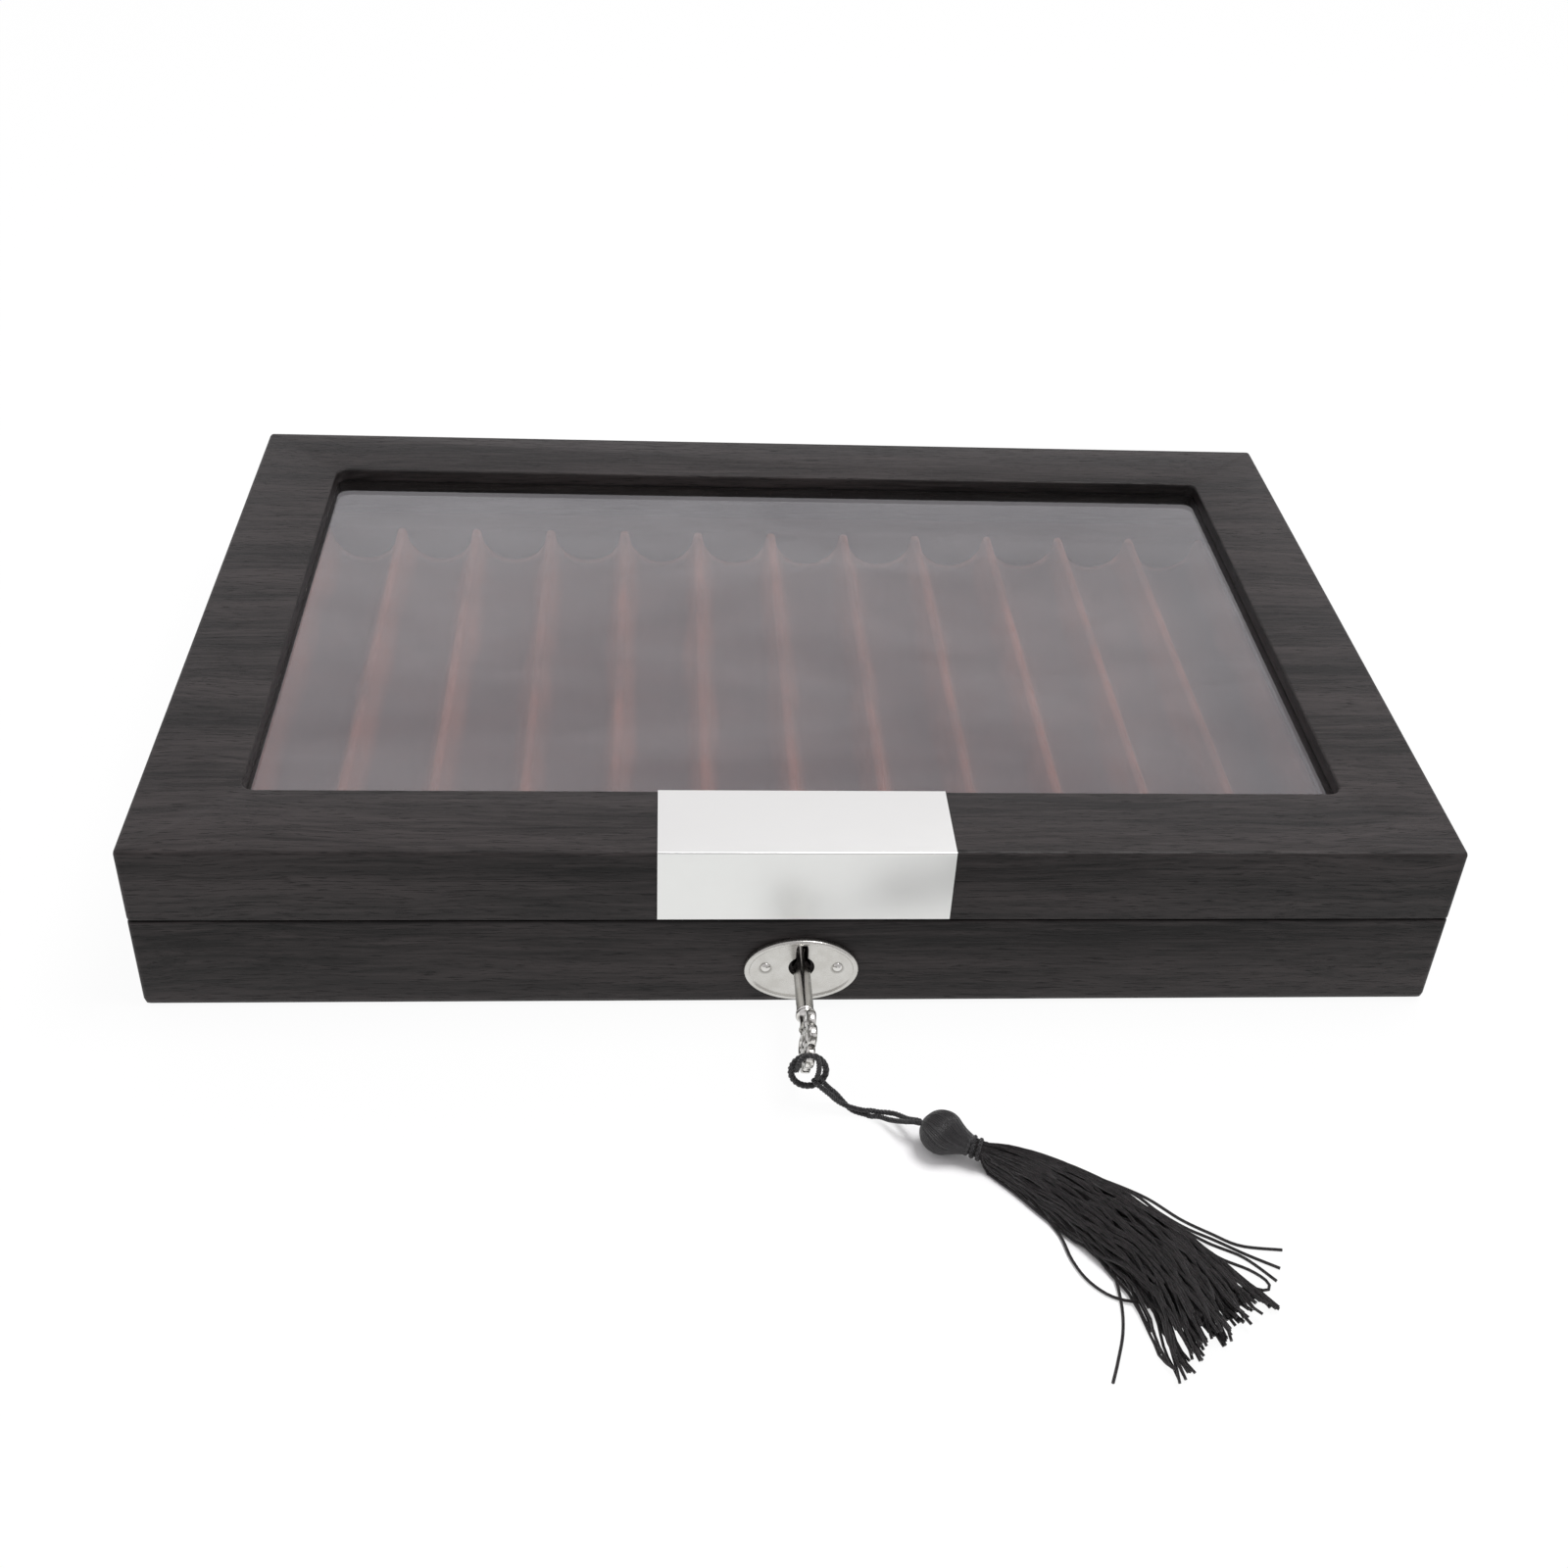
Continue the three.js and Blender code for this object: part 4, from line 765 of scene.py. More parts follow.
# %% Thread
def thread_finish(name, twists, tone, shine, lighter=2.4, specular=0.5):
    sheen = {"Sheen_Weight": 0.12, "Sheen_Roughness": 0.4}
    material, tree, inputs = finish(name, tone, shine, Specular_IOR_Level=specular, **sheen)
    own_map = put(tree, "ShaderNodeUVMap", {"uv_map": "UVMap"}).outputs[0]
    yarn = use(tree, yarn_pattern, Map=own_map, Twists=twists, Place=object_place(tree))
    light = tuple(min(1.0, lighter * x) for x in tone)
    # Painted shade: the colour darkened in the grooves of the twist.
    dark = tuple(0.35 * x for x in tone)
    colour = mixed(tree, yarn["Tone"], tone, light)
    colour = mixed(tree, maths(tree, "MULTIPLY", yarn["Groove"], 0.6), colour, dark)
    tree.links.new(colour, inputs["Base Color"])
    bump(tree, inputs, yarn["Height"], 0.08 * MM, 0.8)
    return material


strand_thread = thread_finish("strand thread", 62.0, (0.0036, 0.0028, 0.0030), 0.30, 9.0, specular=0.30)
cord_thread = thread_finish("cord thread", 90.0, (0.0105, 0.0100, 0.0110), 0.42, 3.5)
head_thread = thread_finish("satin head thread", 14.0, (0.0135, 0.0125, 0.0135), 0.34)
print(len(bpy.data.materials), "materials")

# %% [markdown]
# ## Rounding that the eye sees
#
# The solid pieces come as loose triangles with flat faces. Their rounded edges should look round, and their
# sharp edges sharp. A small geometry node tree does what "shade smooth by angle" does in the editor: it
# joins the triangles, shades them smooth, and keeps an edge hard where two faces meet at more than 40
# degrees.

# %% Smooth shading for the solid pieces
def rounding_tree(crease):
    tree = bpy.data.node_groups.new("smooth by angle", "GeometryNodeTree")
    tree.interface.new_socket("Geometry", in_out="INPUT", socket_type="NodeSocketGeometry")
    tree.interface.new_socket("Geometry", in_out="OUTPUT", socket_type="NodeSocketGeometry")
    start = tree.nodes.new("NodeGroupInput").outputs[0]
    bare = put(tree, "GeometryNodeRemoveAttribute", None, Geometry=start, Name="custom_normal").outputs[0]
    joined = put(tree, "GeometryNodeMergeByDistance", None, Geometry=bare, Distance=1e-6).outputs[0]
    angle = tree.nodes.new("GeometryNodeInputMeshEdgeAngle").outputs["Unsigned Angle"]
    gentle = maths(tree, "LESS_THAN", angle, math.radians(crease))
    smooth = "GeometryNodeSetShadeSmooth"
    faces = put(tree, smooth, {"domain": "FACE"}, Geometry=joined, Shade_Smooth=True).outputs[0]
    edges = put(tree, smooth, {"domain": "EDGE"}, Geometry=faces, Shade_Smooth=gentle).outputs[0]
    tree.links.new(edges, tree.nodes.new("NodeGroupOutput").inputs[0])
    return tree


rounding = rounding_tree(40)
print("rounding made of", len(rounding.nodes), "nodes")

# %% [markdown]
# ## Dressing the solid pieces
#
# The wood, the glass, the nameplate, the lock and the hinges are already right in form, so the solid pieces
# themselves get a finish and the smooth shading. The other pieces are replaced further down.

# %% The solid pieces and their finishes
def dress(names, material):
    """Gives solid pieces their finish and the smooth shading."""
    for name in names:
        piece = nodes[name]
        piece.data.materials.clear()
        piece.data.materials.append(material)
        piece.modifiers.new("rounding", "NODES").node_group = rounding


sides = ("front", "back", "left", "right")
walls = [f"{part}_{side}_wall" for part in ("base", "lid") for side in sides]
beads = [f"glass_bead_{side}" for side in sides]
hinge_parts = [n for n in nodes if n.startswith("hinge") and "screw" not in n]
dress([*walls, "lid_top_frame", *beads], veneer)
dress(["base_panel"], board)
dress(["glass_pane"], glass)
dress(["nameplate"], satin_plate)
dress(["lock_case", "lock_back_plate", "lock_bolt", "strike_plate"], lock_steel)
dress([*hinge_parts, "lock_pin_left", "lock_pin_right"], nickel)
print(len([o for o in nodes.values() if o.modifiers]), "solid pieces dressed")

# %% [markdown]
# ## The cord
#
# Two black strands leave the loop on the key side by side, drop to the table, cross once, part again and
# enter the tassel's head. A real cord like this is limp and lies flat under its own weight. The line down
# its middle repeats the route of the solid model, and then runs on through the head and the neck into the
# strands, as the real cord does. Each strand is itself a cord of three plies.

# %% The cord's route
cord_route = in_metres([
    (1.0, -149.7, 9.1), (2.6, -150.7, 7.7), (4.2, -151.0, 6.0), (5.8, -151.2, 4.4), (7.6, -151.8, 2.8),
    (9.7, -152.9, 1.7), (11.8, -153.8, 1.3), (14.0, -154.5, 1.3), (16.2, -155.0, 1.4), (18.3, -155.7, 1.7),
    (20.2, -156.9, 2.3), (21.9, -158.6, 3.3), (23.4, -160.2, 4.5), (24.6, -161.3, 5.5), (25.7, -162.1, 6.0),
])
head_centre = Vector((31.2, -165.4, 5.75)) * MM
dip, swing = math.radians(7), math.radians(-27.7)
tassel_way = Vector((math.cos(dip) * math.cos(swing), math.cos(dip) * math.sin(swing), -math.sin(dip)))
tassel_side = Vector((-math.sin(swing), math.cos(swing), 0))
tassel_up = tassel_way.cross(tassel_side)
inside_tassel = [head_centre + tassel_way * reach * MM for reach in (-2, 2, 6, 10, 13)]
in_skirt = in_metres([(50.0, -177.3, 3.6), (56.0, -181.8, 3.3), (62.0, -187.0, 3.0), (65.0, -190.3, 3.0)])
cord_spacing = 0.25 * MM
cord_line = smooth_line(cord_route + inside_tassel + in_skirt, cord_spacing)
cord_length = line_length(cord_line)
free_length = line_length(smooth_line(cord_route, cord_spacing))
print("cord", *in_mm([cord_length]), "mm long, the part to the head", *in_mm([free_length]))

# %% [markdown]
# The two strands turn half a turn round the middle line between the loop and the head. Where they are one
# above the other they touch, and a little before the head they stand apart with the table showing between
# them. Two short lists say this: the turn in degrees, and the half distance in millimetres, at a few shares
# of the free length. Inside the head the strands go on turning. No strand may sink into the table.

# %% The cord's two strands
strand_radius = 0.68 * MM
strand_turn = [(0.0, -20), (0.2, 0), (0.5, 90), (0.62, 180), (1.0, 200)]
strand_gap = [(0.0, 0.80), (0.24, 0.98), (0.48, 0.68), (0.58, 0.68), (0.76, 1.4), (0.89, 1.1), (1.0, 0.68)]


def eased(t, marks):
    """A value that follows marks of (share, value) with soft bends."""
    for (t0, v0), (t1, v1) in zip(marks, marks[1:]):
        if t <= t1:
            s = max(0.0, min(1.0, (t - t0) / (t1 - t0)))
            return v0 + (v1 - v0) * s * s * (3 - 2 * s)
    return marks[-1][1]


def cord_strands():
    turn_inside, lowest = 25, 1.06 * strand_radius
    lines = [[], []]
    for i, (place, way) in enumerate(zip(cord_line, ways_along(cord_line))):
        walked = cord_length * i / (len(cord_line) - 1)
        share = walked / free_length
        side = way.cross(Vector((0, 0, 1))).normalized()
        up = side.cross(way)
        inside = max(0.0, walked - free_length) / MM
        turn = math.radians(eased(share, strand_turn) + inside * turn_inside)
        gap = eased(share, strand_gap) * MM
        for line, sign in zip(lines, (1, -1)):
            spot = place + sign * gap * (math.cos(turn) * side + math.sin(turn) * up)
            spot.z = max(spot.z, lowest)
            line.append(spot)
    return lines


def make_cord():
    twisted = [ply for strand in cord_strands() for ply in plies(strand, 3, strand_radius / 2, 2.6 * MM)]
    cord = show("cord", thread_mesh("cord", twisted, strand_radius * 0.54), cord_thread)
    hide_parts("tassel_cord")
    return cord


cord = make_cord()
print("cord has", len(cord.data.polygons), "faces")

# %% [markdown]
# ## The loop through the key
#
# The same cord is hitched to the key. It runs through the end hole of the bow as a round loop that hangs
# nearly upright, and its bight lies over the outside of the bow's end, with both its ends inside the loop,
# where the two strands of the cord begin. Three plies twist round a circle and close on themselves, and
# three more round the bight. Where the key is comes from the solid model: its axis is that of the joint
# that turns it, and its bow is measured from the front of the case.

# %% The loop and its bight
key_joint = Vector(next(joint["pos_m"] for joint in frame["joints"] if joint["name"] == "key_turn"))
key_axis = Vector((key_joint.x, 0, key_joint.z))
case_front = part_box("base_front_wall")[0].y
bow_centre = key_axis + Vector((0, case_front - 28.7 * MM, 0))
bow_lobe_circle = 5 * MM
bow_hole = bow_centre - Vector((0, bow_lobe_circle, 0))
loop_radius, loop_cord, loop_tilt = 4.35 * MM, 0.85 * MM, math.radians(78)
over_bow = [
    (1.9, -2.6, -5.4), (2.35, -2.9, -2.6), (2.3, -2.8, 0.0), (1.75, -2.7, 1.9), (0.35, -2.75, 2.75),
    (-1.25, -2.65, 2.45), (-2.35, -2.4, 0.8), (-2.75, -2.0, -1.6), (-3.1, -1.6, -3.6),
]


def loop_place(angle):
    """A place round the loop, which starts at its right and goes down to its lowest point first."""
    down = Vector((0, -math.cos(loop_tilt), -math.sin(loop_tilt)))
    centre = bow_hole + down * loop_radius
    return centre + loop_radius * (math.cos(angle) * Vector((1, 0, 0)) + math.sin(angle) * down)


def make_loop():
    steps = 120
    circle = [loop_place(2 * math.pi * step / steps) for step in range(steps)]
    round_loop = plies(circle, 3, loop_cord / 2, 3.4 * MM, closed=True)
    threads = thread_mesh("key_loop", round_loop, 0.54 * loop_cord, closed=True)
    bight = smooth_line([bow_hole + Vector(place) * MM for place in over_bow], 0.25 * MM)
    second = thread_mesh("key_bight", plies(bight, 3, 0.34 * MM, 2.8 * MM), 0.38 * MM)
    work = bmesh.new()
    work.from_mesh(threads)
    work.from_mesh(second)
    work.to_mesh(threads)
    work.free()
    bpy.data.meshes.remove(second)
    loop = show("key_loop", threads, cord_thread)
    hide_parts("key_cord_ring")
    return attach(loop, "key")


loop = make_loop()
print("loop spans", in_mm(loop.dimensions), "mm")

# %% [markdown]
# ## The tassel's head
#
# The head is a small ball covered with satin thread that runs from the cord's end to the neck and leans a
# little as it goes. Near the neck the threads leave the ball in a straight shoulder and run on under the
# winding, which gives the head its drop shape. The threads lie side by side, and a plain ball under them
# closes the last chinks.

# %% The head
head_radius = 5.55 * MM
shoulder_share = 0.72
under_winding = 7.6 * MM
shoulder_radius = 2.25 * MM


def head_place(share, angle, sink):
    """A place on the head's skin: its share of the way from the cord to the neck, and the angle round it."""
    polar = math.radians(8 + 118 * min(1.0, share / shoulder_share))
    reach = head_radius - sink
    out, along = reach * math.sin(polar), -reach * math.cos(polar)
    if share > shoulder_share:
        run = (share - shoulder_share) / (1 - shoulder_share)
        out += (shoulder_radius - out) * run * (2 - run) ** 0.5
        along += (under_winding - along) * run
    outward = math.cos(angle) * tassel_side + math.sin(angle) * tassel_up
    return head_centre + out * outward + along * tassel_way


def head_lines(thread, count=56, steps=26):
    """The threads' lines, each sunk by a small amount of its own, so that they don't lie like a grating."""
    random.seed(3)
    leaning = math.radians(60)
    lines = []
    for number in range(count):
        start, sink = 2 * math.pi * number / count, thread + random.uniform(0, 0.24) * MM
        shares = [step / steps for step in range(steps + 1)]
        lines.append([head_place(share, start + leaning * (share - 0.5), sink) for share in shares])
    return lines


def make_head():
    thread = 0.34 * MM
    threads = thread_mesh("tassel_ball", head_lines(thread), thread)
    work = bmesh.new()
    work.from_mesh(threads)
    ball = bmesh.ops.create_uvsphere(work, u_segments=32, v_segments=18, radius=head_radius - 1.7 * thread)
    bmesh.ops.translate(work, verts=ball["verts"], vec=head_centre)
    work.to_mesh(threads)
    work.free()
    threads.shade_smooth()
    head = show("tassel_ball", threads, head_thread)
    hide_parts("tassel_head")
    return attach(head, "tassel")


head = make_head()
print("head spans", in_mm(head.dimensions), "mm")

# %% [markdown]
# ## The neck
#
# One thread is wound three times round the strands below the head and pulled tight. It is a cord of two
# plies, and both its ends are tucked inwards under the winding.

# %% The neck's winding
neck_start, neck_length, neck_radius, binding = 5.5 * MM, 6 * MM, 2.9 * MM, 0.55 * MM
neck_turns, neck_steps, tuck_steps, tuck_depth = 3, 144, 6, 0.5 * MM


def make_neck():
    middle = neck_radius - binding
    travel = neck_length - 2 * binding
    line = []
    for step in range(-tuck_steps, neck_steps + tuck_steps + 1):
        share = step / neck_steps
        tucked = max(0.0, -share, share - 1) * neck_steps / tuck_steps
        angle = 2 * math.pi * neck_turns * share
        outward = math.cos(angle) * tassel_side + math.sin(angle) * tassel_up
        along = neck_start + binding + travel * max(0.0, min(1.0, share))
        line.append(head_centre + tassel_way * along + outward * (middle - tuck_depth * tucked))
    twisted = plies(line, 2, 0.27 * MM, 1.9 * MM)
    neck = show("neck_winding", thread_mesh("neck_winding", twisted, 0.32 * MM), head_thread)
    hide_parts("tassel_neck")
    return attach(neck, "tassel")


neck = make_neck()
print("neck has", len(neck.data.polygons), "faces")

# %% [markdown]
# ## The strands
#
# Two hundred and fifty strands leave the neck in a tight round bundle, drop to the table and fan out in
# clumps. Two lines hold the fan: its left edge and its right edge, as they lie on the table. A strand has a
# place across the fan and a height in the heap. As it runs, it wanders a little across its neighbours, and
# near its end it draws towards its clump, which leaves the gaps that a combed tassel shows.

# %% The fan's edges and height
left_edge = smooth_line(in_metres([
    (39.6, -171.4, 0), (44.0, -176.3, 0), (48.6, -181.4, 0), (55.9, -190.5, 0), (61.5, -198.0, 0),
    (67.1, -205.9, 0), (70.4, -213.3, 0), (72.0, -221.3, 0), (72.9, -229.8, 0), (73.9, -235.8, 0),
]), MM)
right_edge = smooth_line(in_metres([
    (43.6, -167.4, 0), (48.0, -168.4, 0), (53.5, -170.1, 0), (60.5, -173.7, 0), (69.5, -179.4, 0),
    (77.0, -185.6, 0), (84.5, -192.6, 0), (91.8, -200.8, 0), (97.6, -208.0, 0), (103.4, -215.2, 0),
]), MM)
left_edge, right_edge = even_line(left_edge, 100), even_line(right_edge, 100)


def on_edge(line, t):
    spot = max(0.0, min(1.0, t)) * (len(line) - 1)
    i = min(int(spot), len(line) - 2)
    return line[i].lerp(line[i + 1], spot - i)


def roundness(across):
    """1 in the middle of the fan and 0 at its edges, like the top of a flattened heap."""
    return max(0.0, 1 - abs(2 * across - 1) ** 2.4)


def heap_height(across, t):
    """How high the heap of strands is at a place across the fan and along it."""
    middle = (6.2 + 3.4 * math.sin(math.pi * min(1.0, t)) - 1.9 * t) * MM
    return middle * roundness(across) ** 0.5


print("fan runs", *in_mm([line_length(left_edge), line_length(right_edge)]), "mm on its left and right")

# %% [markdown]
# One strand is a line of places. It starts in the round bundle at the neck. From there each step works out
# how far across the fan the strand is by then, and how high it may lie, from the clump that draws it, a
# slow wander and small kinks of its own.

# %% The line of one strand
yarn_radius = 0.39 * MM
yarn_rest = 1.02 * yarn_radius
bundle_radius = 2.0 * MM
clump_start, clump_pull = 0.5, 0.85
kink_size = 0.046


def kink(number, t):
    """A strand's small sideways and upward kinks, from a slow noise of its own."""
    place = Vector((3.1 * number, 6.0 * t, 0.0))
    aside = noise.noise(place) + 0.6 * noise.noise(place * 2.4)
    return aside, noise.noise(place * 1.3 + Vector((0, 0, 9)))


def bundle_places(across, high):
    """Where a strand runs through the neck and under the winding."""
    lift = (2 * high - 1) * math.sqrt(max(0.0, 1 - (2 * across - 1) ** 2))
    sideways = tassel_side * (2 * across - 1) + tassel_up * lift
    return [head_centre + tassel_way * reach * MM + sideways * bundle_radius for reach in (5.4, 8.0, 11.0)]


def strand_line(number, across, high, clump, end, wander, phase, steps=22):
    line = bundle_places(across, high)
    for step in range(1, steps + 1):
        t = end * step / steps
        drawn = max(0.0, (t - clump_start) / (1 - clump_start)) ** 1.2 * clump_pull
        free = min(1.0, 2.5 * t)
        aside, lifted = kink(number, t)
        swayed = (wander * math.sin(2 * math.pi * (0.9 * t + phase)) + kink_size * aside) * free
        spot = across + (clump - across) * drawn + swayed
        place = on_edge(left_edge, t).lerp(on_edge(right_edge, t), spot)
        room = max(0.0, heap_height(min(0.995, max(0.005, spot)), t) - 2 * yarn_radius)
        place.z = yarn_rest + room * min(1.0, max(0.0, high + 0.7 * lifted * free))
        line.append(place)
    return line


one_strand = strand_line(0, 0.5, 0.5, 0.5, 1.0, 0.0, 0.0)
print("a strand in the middle is", *in_mm([line_length(one_strand)]), "mm long")

# %% [markdown]
# All the strands are drawn with random numbers from a fixed seed, so that each run gives the same tassel.
# More of them lie in the middle of the fan than at its edges, and more on top than below. Half of those on
# the left are shorter and pulled further to the right, which leaves the notch that the picture shows there.

# %% The strands of the heap
strand_count, clump_count = 250, 15
notch_edge, notch_pull = 0.3, 0.12


def skirt_lines():
    random.seed(11)
    clumps = [(number + random.uniform(0.2, 0.8)) / clump_count for number in range(clump_count)]
    ends = [random.uniform(0.90, 1.0) for _ in clumps]
    lines = []
    while len(lines) < strand_count:
        across, high = random.random(), random.random() ** 0.7
        if random.random() > max(0.25, roundness(across)) ** 0.5:
            continue
        nearest = min(range(len(clumps)), key=lambda n: abs(clumps[n] - across) + random.uniform(0, 0.03))
        end = min(1.0, ends[nearest] + random.gauss(0, 0.028))
        clump = clumps[nearest]
        if across < notch_edge and random.random() < 0.5:
            end, clump = end * random.uniform(0.70, 0.90), clump + notch_pull
        wander = random.gauss(0, 0.042)
        lines.append(strand_line(len(lines), across, high, clump, end, wander, random.random()))
    return lines


def resting_lines(lines, spacing):
    """The lines made smooth, with no point lower than a strand that lies on the table."""
    made = [smooth_line(line, spacing) for line in lines]
    for place in (place for line in made for place in line):
        place.z = max(place.z, yarn_rest)
    return made


heap_lines = resting_lines(skirt_lines(), 2.8 * MM)
print(len(heap_lines), "strands in the heap")

# %% [markdown]
# A few strands have left the heap. Two lie in long loose bows on its left, and four run along its right
# edge, one of them folded back on itself. They follow the picture, so their places are given one by one.

# %% The loose strands
loose_strands = [in_metres(line) for line in (
    [
        (48.6, -180.4, 2.4), (53.0, -186.8, 0.9), (56.3, -193.2, 0.3), (57.8, -200.1, 0.3),
        (60.2, -205.8, 0.3), (63.9, -210.0, 0.3), (68.0, -212.2, 0.6), (72.2, -213.4, 1.4),
    ],
    [
        (63.5, -196.8, 2.2), (66.6, -204.0, 0.9), (67.0, -212.7, 0.3), (65.8, -220.7, 0.3),
        (63.2, -228.3, 0.3), (61.0, -233.8, 0.3),
    ],
    [
        (46.5, -170.0, 4.6), (57.9, -171.4, 2.2), (67.7, -176.2, 1.2), (74.1, -179.5, 0.9),
        (79.8, -183.0, 0.5), (86.0, -189.0, 0.4), (92.3, -193.4, 0.3), (98.5, -197.1, 0.3),
        (108.1, -198.5, 0.3),
    ],
    [
        (48.5, -171.2, 5.6), (59.0, -174.1, 3.2), (69.8, -178.1, 1.8), (76.4, -181.8, 1.0),
        (80.9, -187.0, 0.9), (86.5, -191.7, 0.6), (92.6, -195.3, 0.4), (99.2, -199.7, 0.3),
        (106.2, -203.8, 0.3),
    ],
    [
        (52.0, -173.8, 6.0), (63.0, -177.8, 4.0), (71.7, -181.7, 2.4), (82.2, -189.7, 1.2),
        (90.3, -196.0, 0.7), (98.2, -200.4, 0.3), (104.4, -207.4, 0.3),
    ],
    [
        (74.0, -185.3, 3.0), (82.0, -190.8, 1.6), (88.0, -196.3, 0.8), (92.8, -200.7, 0.4),
        (98.9, -204.2, 0.3), (102.2, -207.6, 0.4), (101.6, -210.0, 0.5), (98.2, -209.3, 0.6),
        (93.6, -206.2, 0.8), (89.5, -202.6, 1.2),
    ],
)]


def make_skirt():
    lines = heap_lines + resting_lines(loose_strands, 1.5 * MM)
    threads = thread_mesh("tassel_strands", lines, yarn_radius)
    skirt = show("tassel_strands", threads, strand_thread)
    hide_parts("tassel_skirt")
    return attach(skirt, "tassel")


skirt = make_skirt()
lowest_strand = min(vert.co.z for vert in skirt.data.vertices)
print("strands:", len(skirt.data.polygons), "faces, down to", round(lowest_strand / MM, 2), "mm")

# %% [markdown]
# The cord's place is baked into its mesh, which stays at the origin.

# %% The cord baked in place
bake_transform(cord)
print("cord declared,", *in_mm([cord_length]), "mm")

# %% [markdown]
# ## The key's shank
#
# The key is one nickel casting. Its shank, the bead and the collar are turned, so half of their outline is
# drawn once and spun about the key's axis. The outline is a list of a distance from the axis and a place
# along it, in millimetres from the front of the case, where a minus sign is nearer to the bow.

# %% The key's turned shank
def spun(work, outline, centre, axis, steps):
    """Spins an outline of points about an axis into a closed shape."""
    verts = [work.verts.new(point) for point in outline]
    edges = [work.edges.new(pair) for pair in zip(verts, verts[1:])]
    bmesh.ops.spin(
        work, geom=[*verts, *edges], cent=centre, axis=axis, dvec=(0, 0, 0),
        angle=2 * math.pi, steps=steps, use_merge=True, use_duplicate=False,
    )


def key_shank(work):
    outline = [
        (0, 7.36), (1.8, 7.36), (2.1, 7.2), (2.2, 6.9), (2.2, -17.85), (2.3, -18.0), (2.4, -18.2),
        (2.4, -18.4), (2.3, -18.62), (2.2, -18.72), (2.2, -18.84), (2.35, -18.95), (2.5, -19.1),
        (2.55, -19.3), (2.55, -19.6), (2.5, -19.8), (2.35, -19.95), (2.1, -20.05), (1.8, -20.5),
        (1.65, -21.2), (1.6, -22.2), (1.7, -23.4), (2.0, -24.4), (0, -24.4),
    ]
    points = [key_axis + Vector((0, case_front + y * MM, r * MM)) for r, y in outline]
    spun(work, points, key_axis, (0, 1, 0), 40)


key_work = bmesh.new()
key_shank(key_work)
print("shank has", len(key_work.faces), "faces")

# %% [markdown]
# ## The key's bow and bit
#
# The bow is six small rings round a seventh, as a rosette seen from the side, and each ring is a rounded
# section spun about its own centre. The ring at the shank is filled. The bow leans a little to the right,
# so one of its faces can be seen. The bit at the other end is a small block with rounded edges.

# %% The key's bow and bit
bow_lean = math.radians(6)
bit_size = Vector((2.4, 2.0, 7.3)) * MM
bit_middle = Vector((0, case_front + 6.36 * MM, 3.65 * MM))


def bow_ring(work, centre, filled):
    section = [
        (1.7, -0.6), (1.7, 0.6), (1.82, 0.93), (2.05, 1.12), (2.4, 1.2), (2.75, 1.12), (2.98, 0.93),
        (3.1, 0.6), (3.1, -0.6), (2.98, -0.93), (2.75, -1.12), (2.4, -1.2), (2.05, -1.12), (1.82, -0.93),
        (1.7, -0.6),
    ]
    plug = [(0, -0.95), (1.2, -0.9), (1.9, -0.7), (1.9, 0.7), (1.2, 0.9), (0, 0.95)]
    for outline in (section, plug) if filled else (section,):
        spun(work, [centre + Vector((x, 0, r)) * MM for r, x in outline], centre, (1, 0, 0), 28)


def key_bow(work):
    old = set(work.verts)
    bow_ring(work, bow_centre, False)
    for lobe in range(6):
        turn = 2 * math.pi * lobe / 6
        place = bow_centre + Vector((0, math.cos(turn), math.sin(turn))) * bow_lobe_circle
        bow_ring(work, place, lobe == 0)
    new = [vert for vert in work.verts if vert not in old]
    bmesh.ops.rotate(work, verts=new, cent=bow_centre, matrix=Matrix.Rotation(bow_lean, 4, "Y"))


def key_bit(work):
    place = Matrix.Translation(key_axis + bit_middle) @ Matrix.Diagonal((*bit_size, 1))
    bit = bmesh.ops.create_cube(work, size=1, matrix=place)["verts"]
    edges = list({edge for vert in bit for edge in vert.link_edges})
    bmesh.ops.bevel(
        work, geom=edges, offset=0.25 * MM, offset_type="OFFSET", segments=2, profile=0.5,
        affect="EDGES", material=-1,
    )


key_bow(key_work)
key_bit(key_work)
key = show("nickel_key", shaped("nickel_key", key_work, 50), key_nickel)
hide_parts("key")
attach(key, "key")
print("key is", in_mm(key.dimensions), "mm")

# %% [markdown]
# ## The oval plate
#
# A raised rim runs round a sunk face, and the keyhole is pierced through it. All of it can be seen as
# rings, one inside the other, at slightly different depths. The first ring is a circle pulled into an oval.
# It is then extruded again and again, and each new ring moves to its own oval or to the keyhole. Every
# point keeps the angle at which it started, so the rings never twist.

# %% The oval plate's rings
oval_across, oval_up, oval_drop = 15, 10.25, 1
hole_radius, slot_half_width, slot_top = 3.3, 1.5, 7.3
plate_back, plate_face, corner = 0.04, 1.3, 0.12


def oval_place(angle, inset, depth):
    """A place on an oval ring, inset from the plate's edge and at a depth in front of the case."""
    across = (oval_across - inset) * math.cos(angle)
    up = (oval_up - inset) * math.sin(angle) - oval_drop
    return key_axis + Vector((across, case_front / MM - depth, up)) * MM


def keyhole_place(angle, grow, depth):
    """A place on the keyhole's outline, which is a round hole with a slot above it."""
    x, z = math.cos(angle), math.sin(angle)
    reach = hole_radius + grow
    if z > 0:
        reach = max(reach, min((slot_half_width + grow) / max(abs(x), 1e-6), (slot_top + grow) / z))
    return key_axis + Vector((x * reach, case_front / MM - depth, z * reach)) * MM


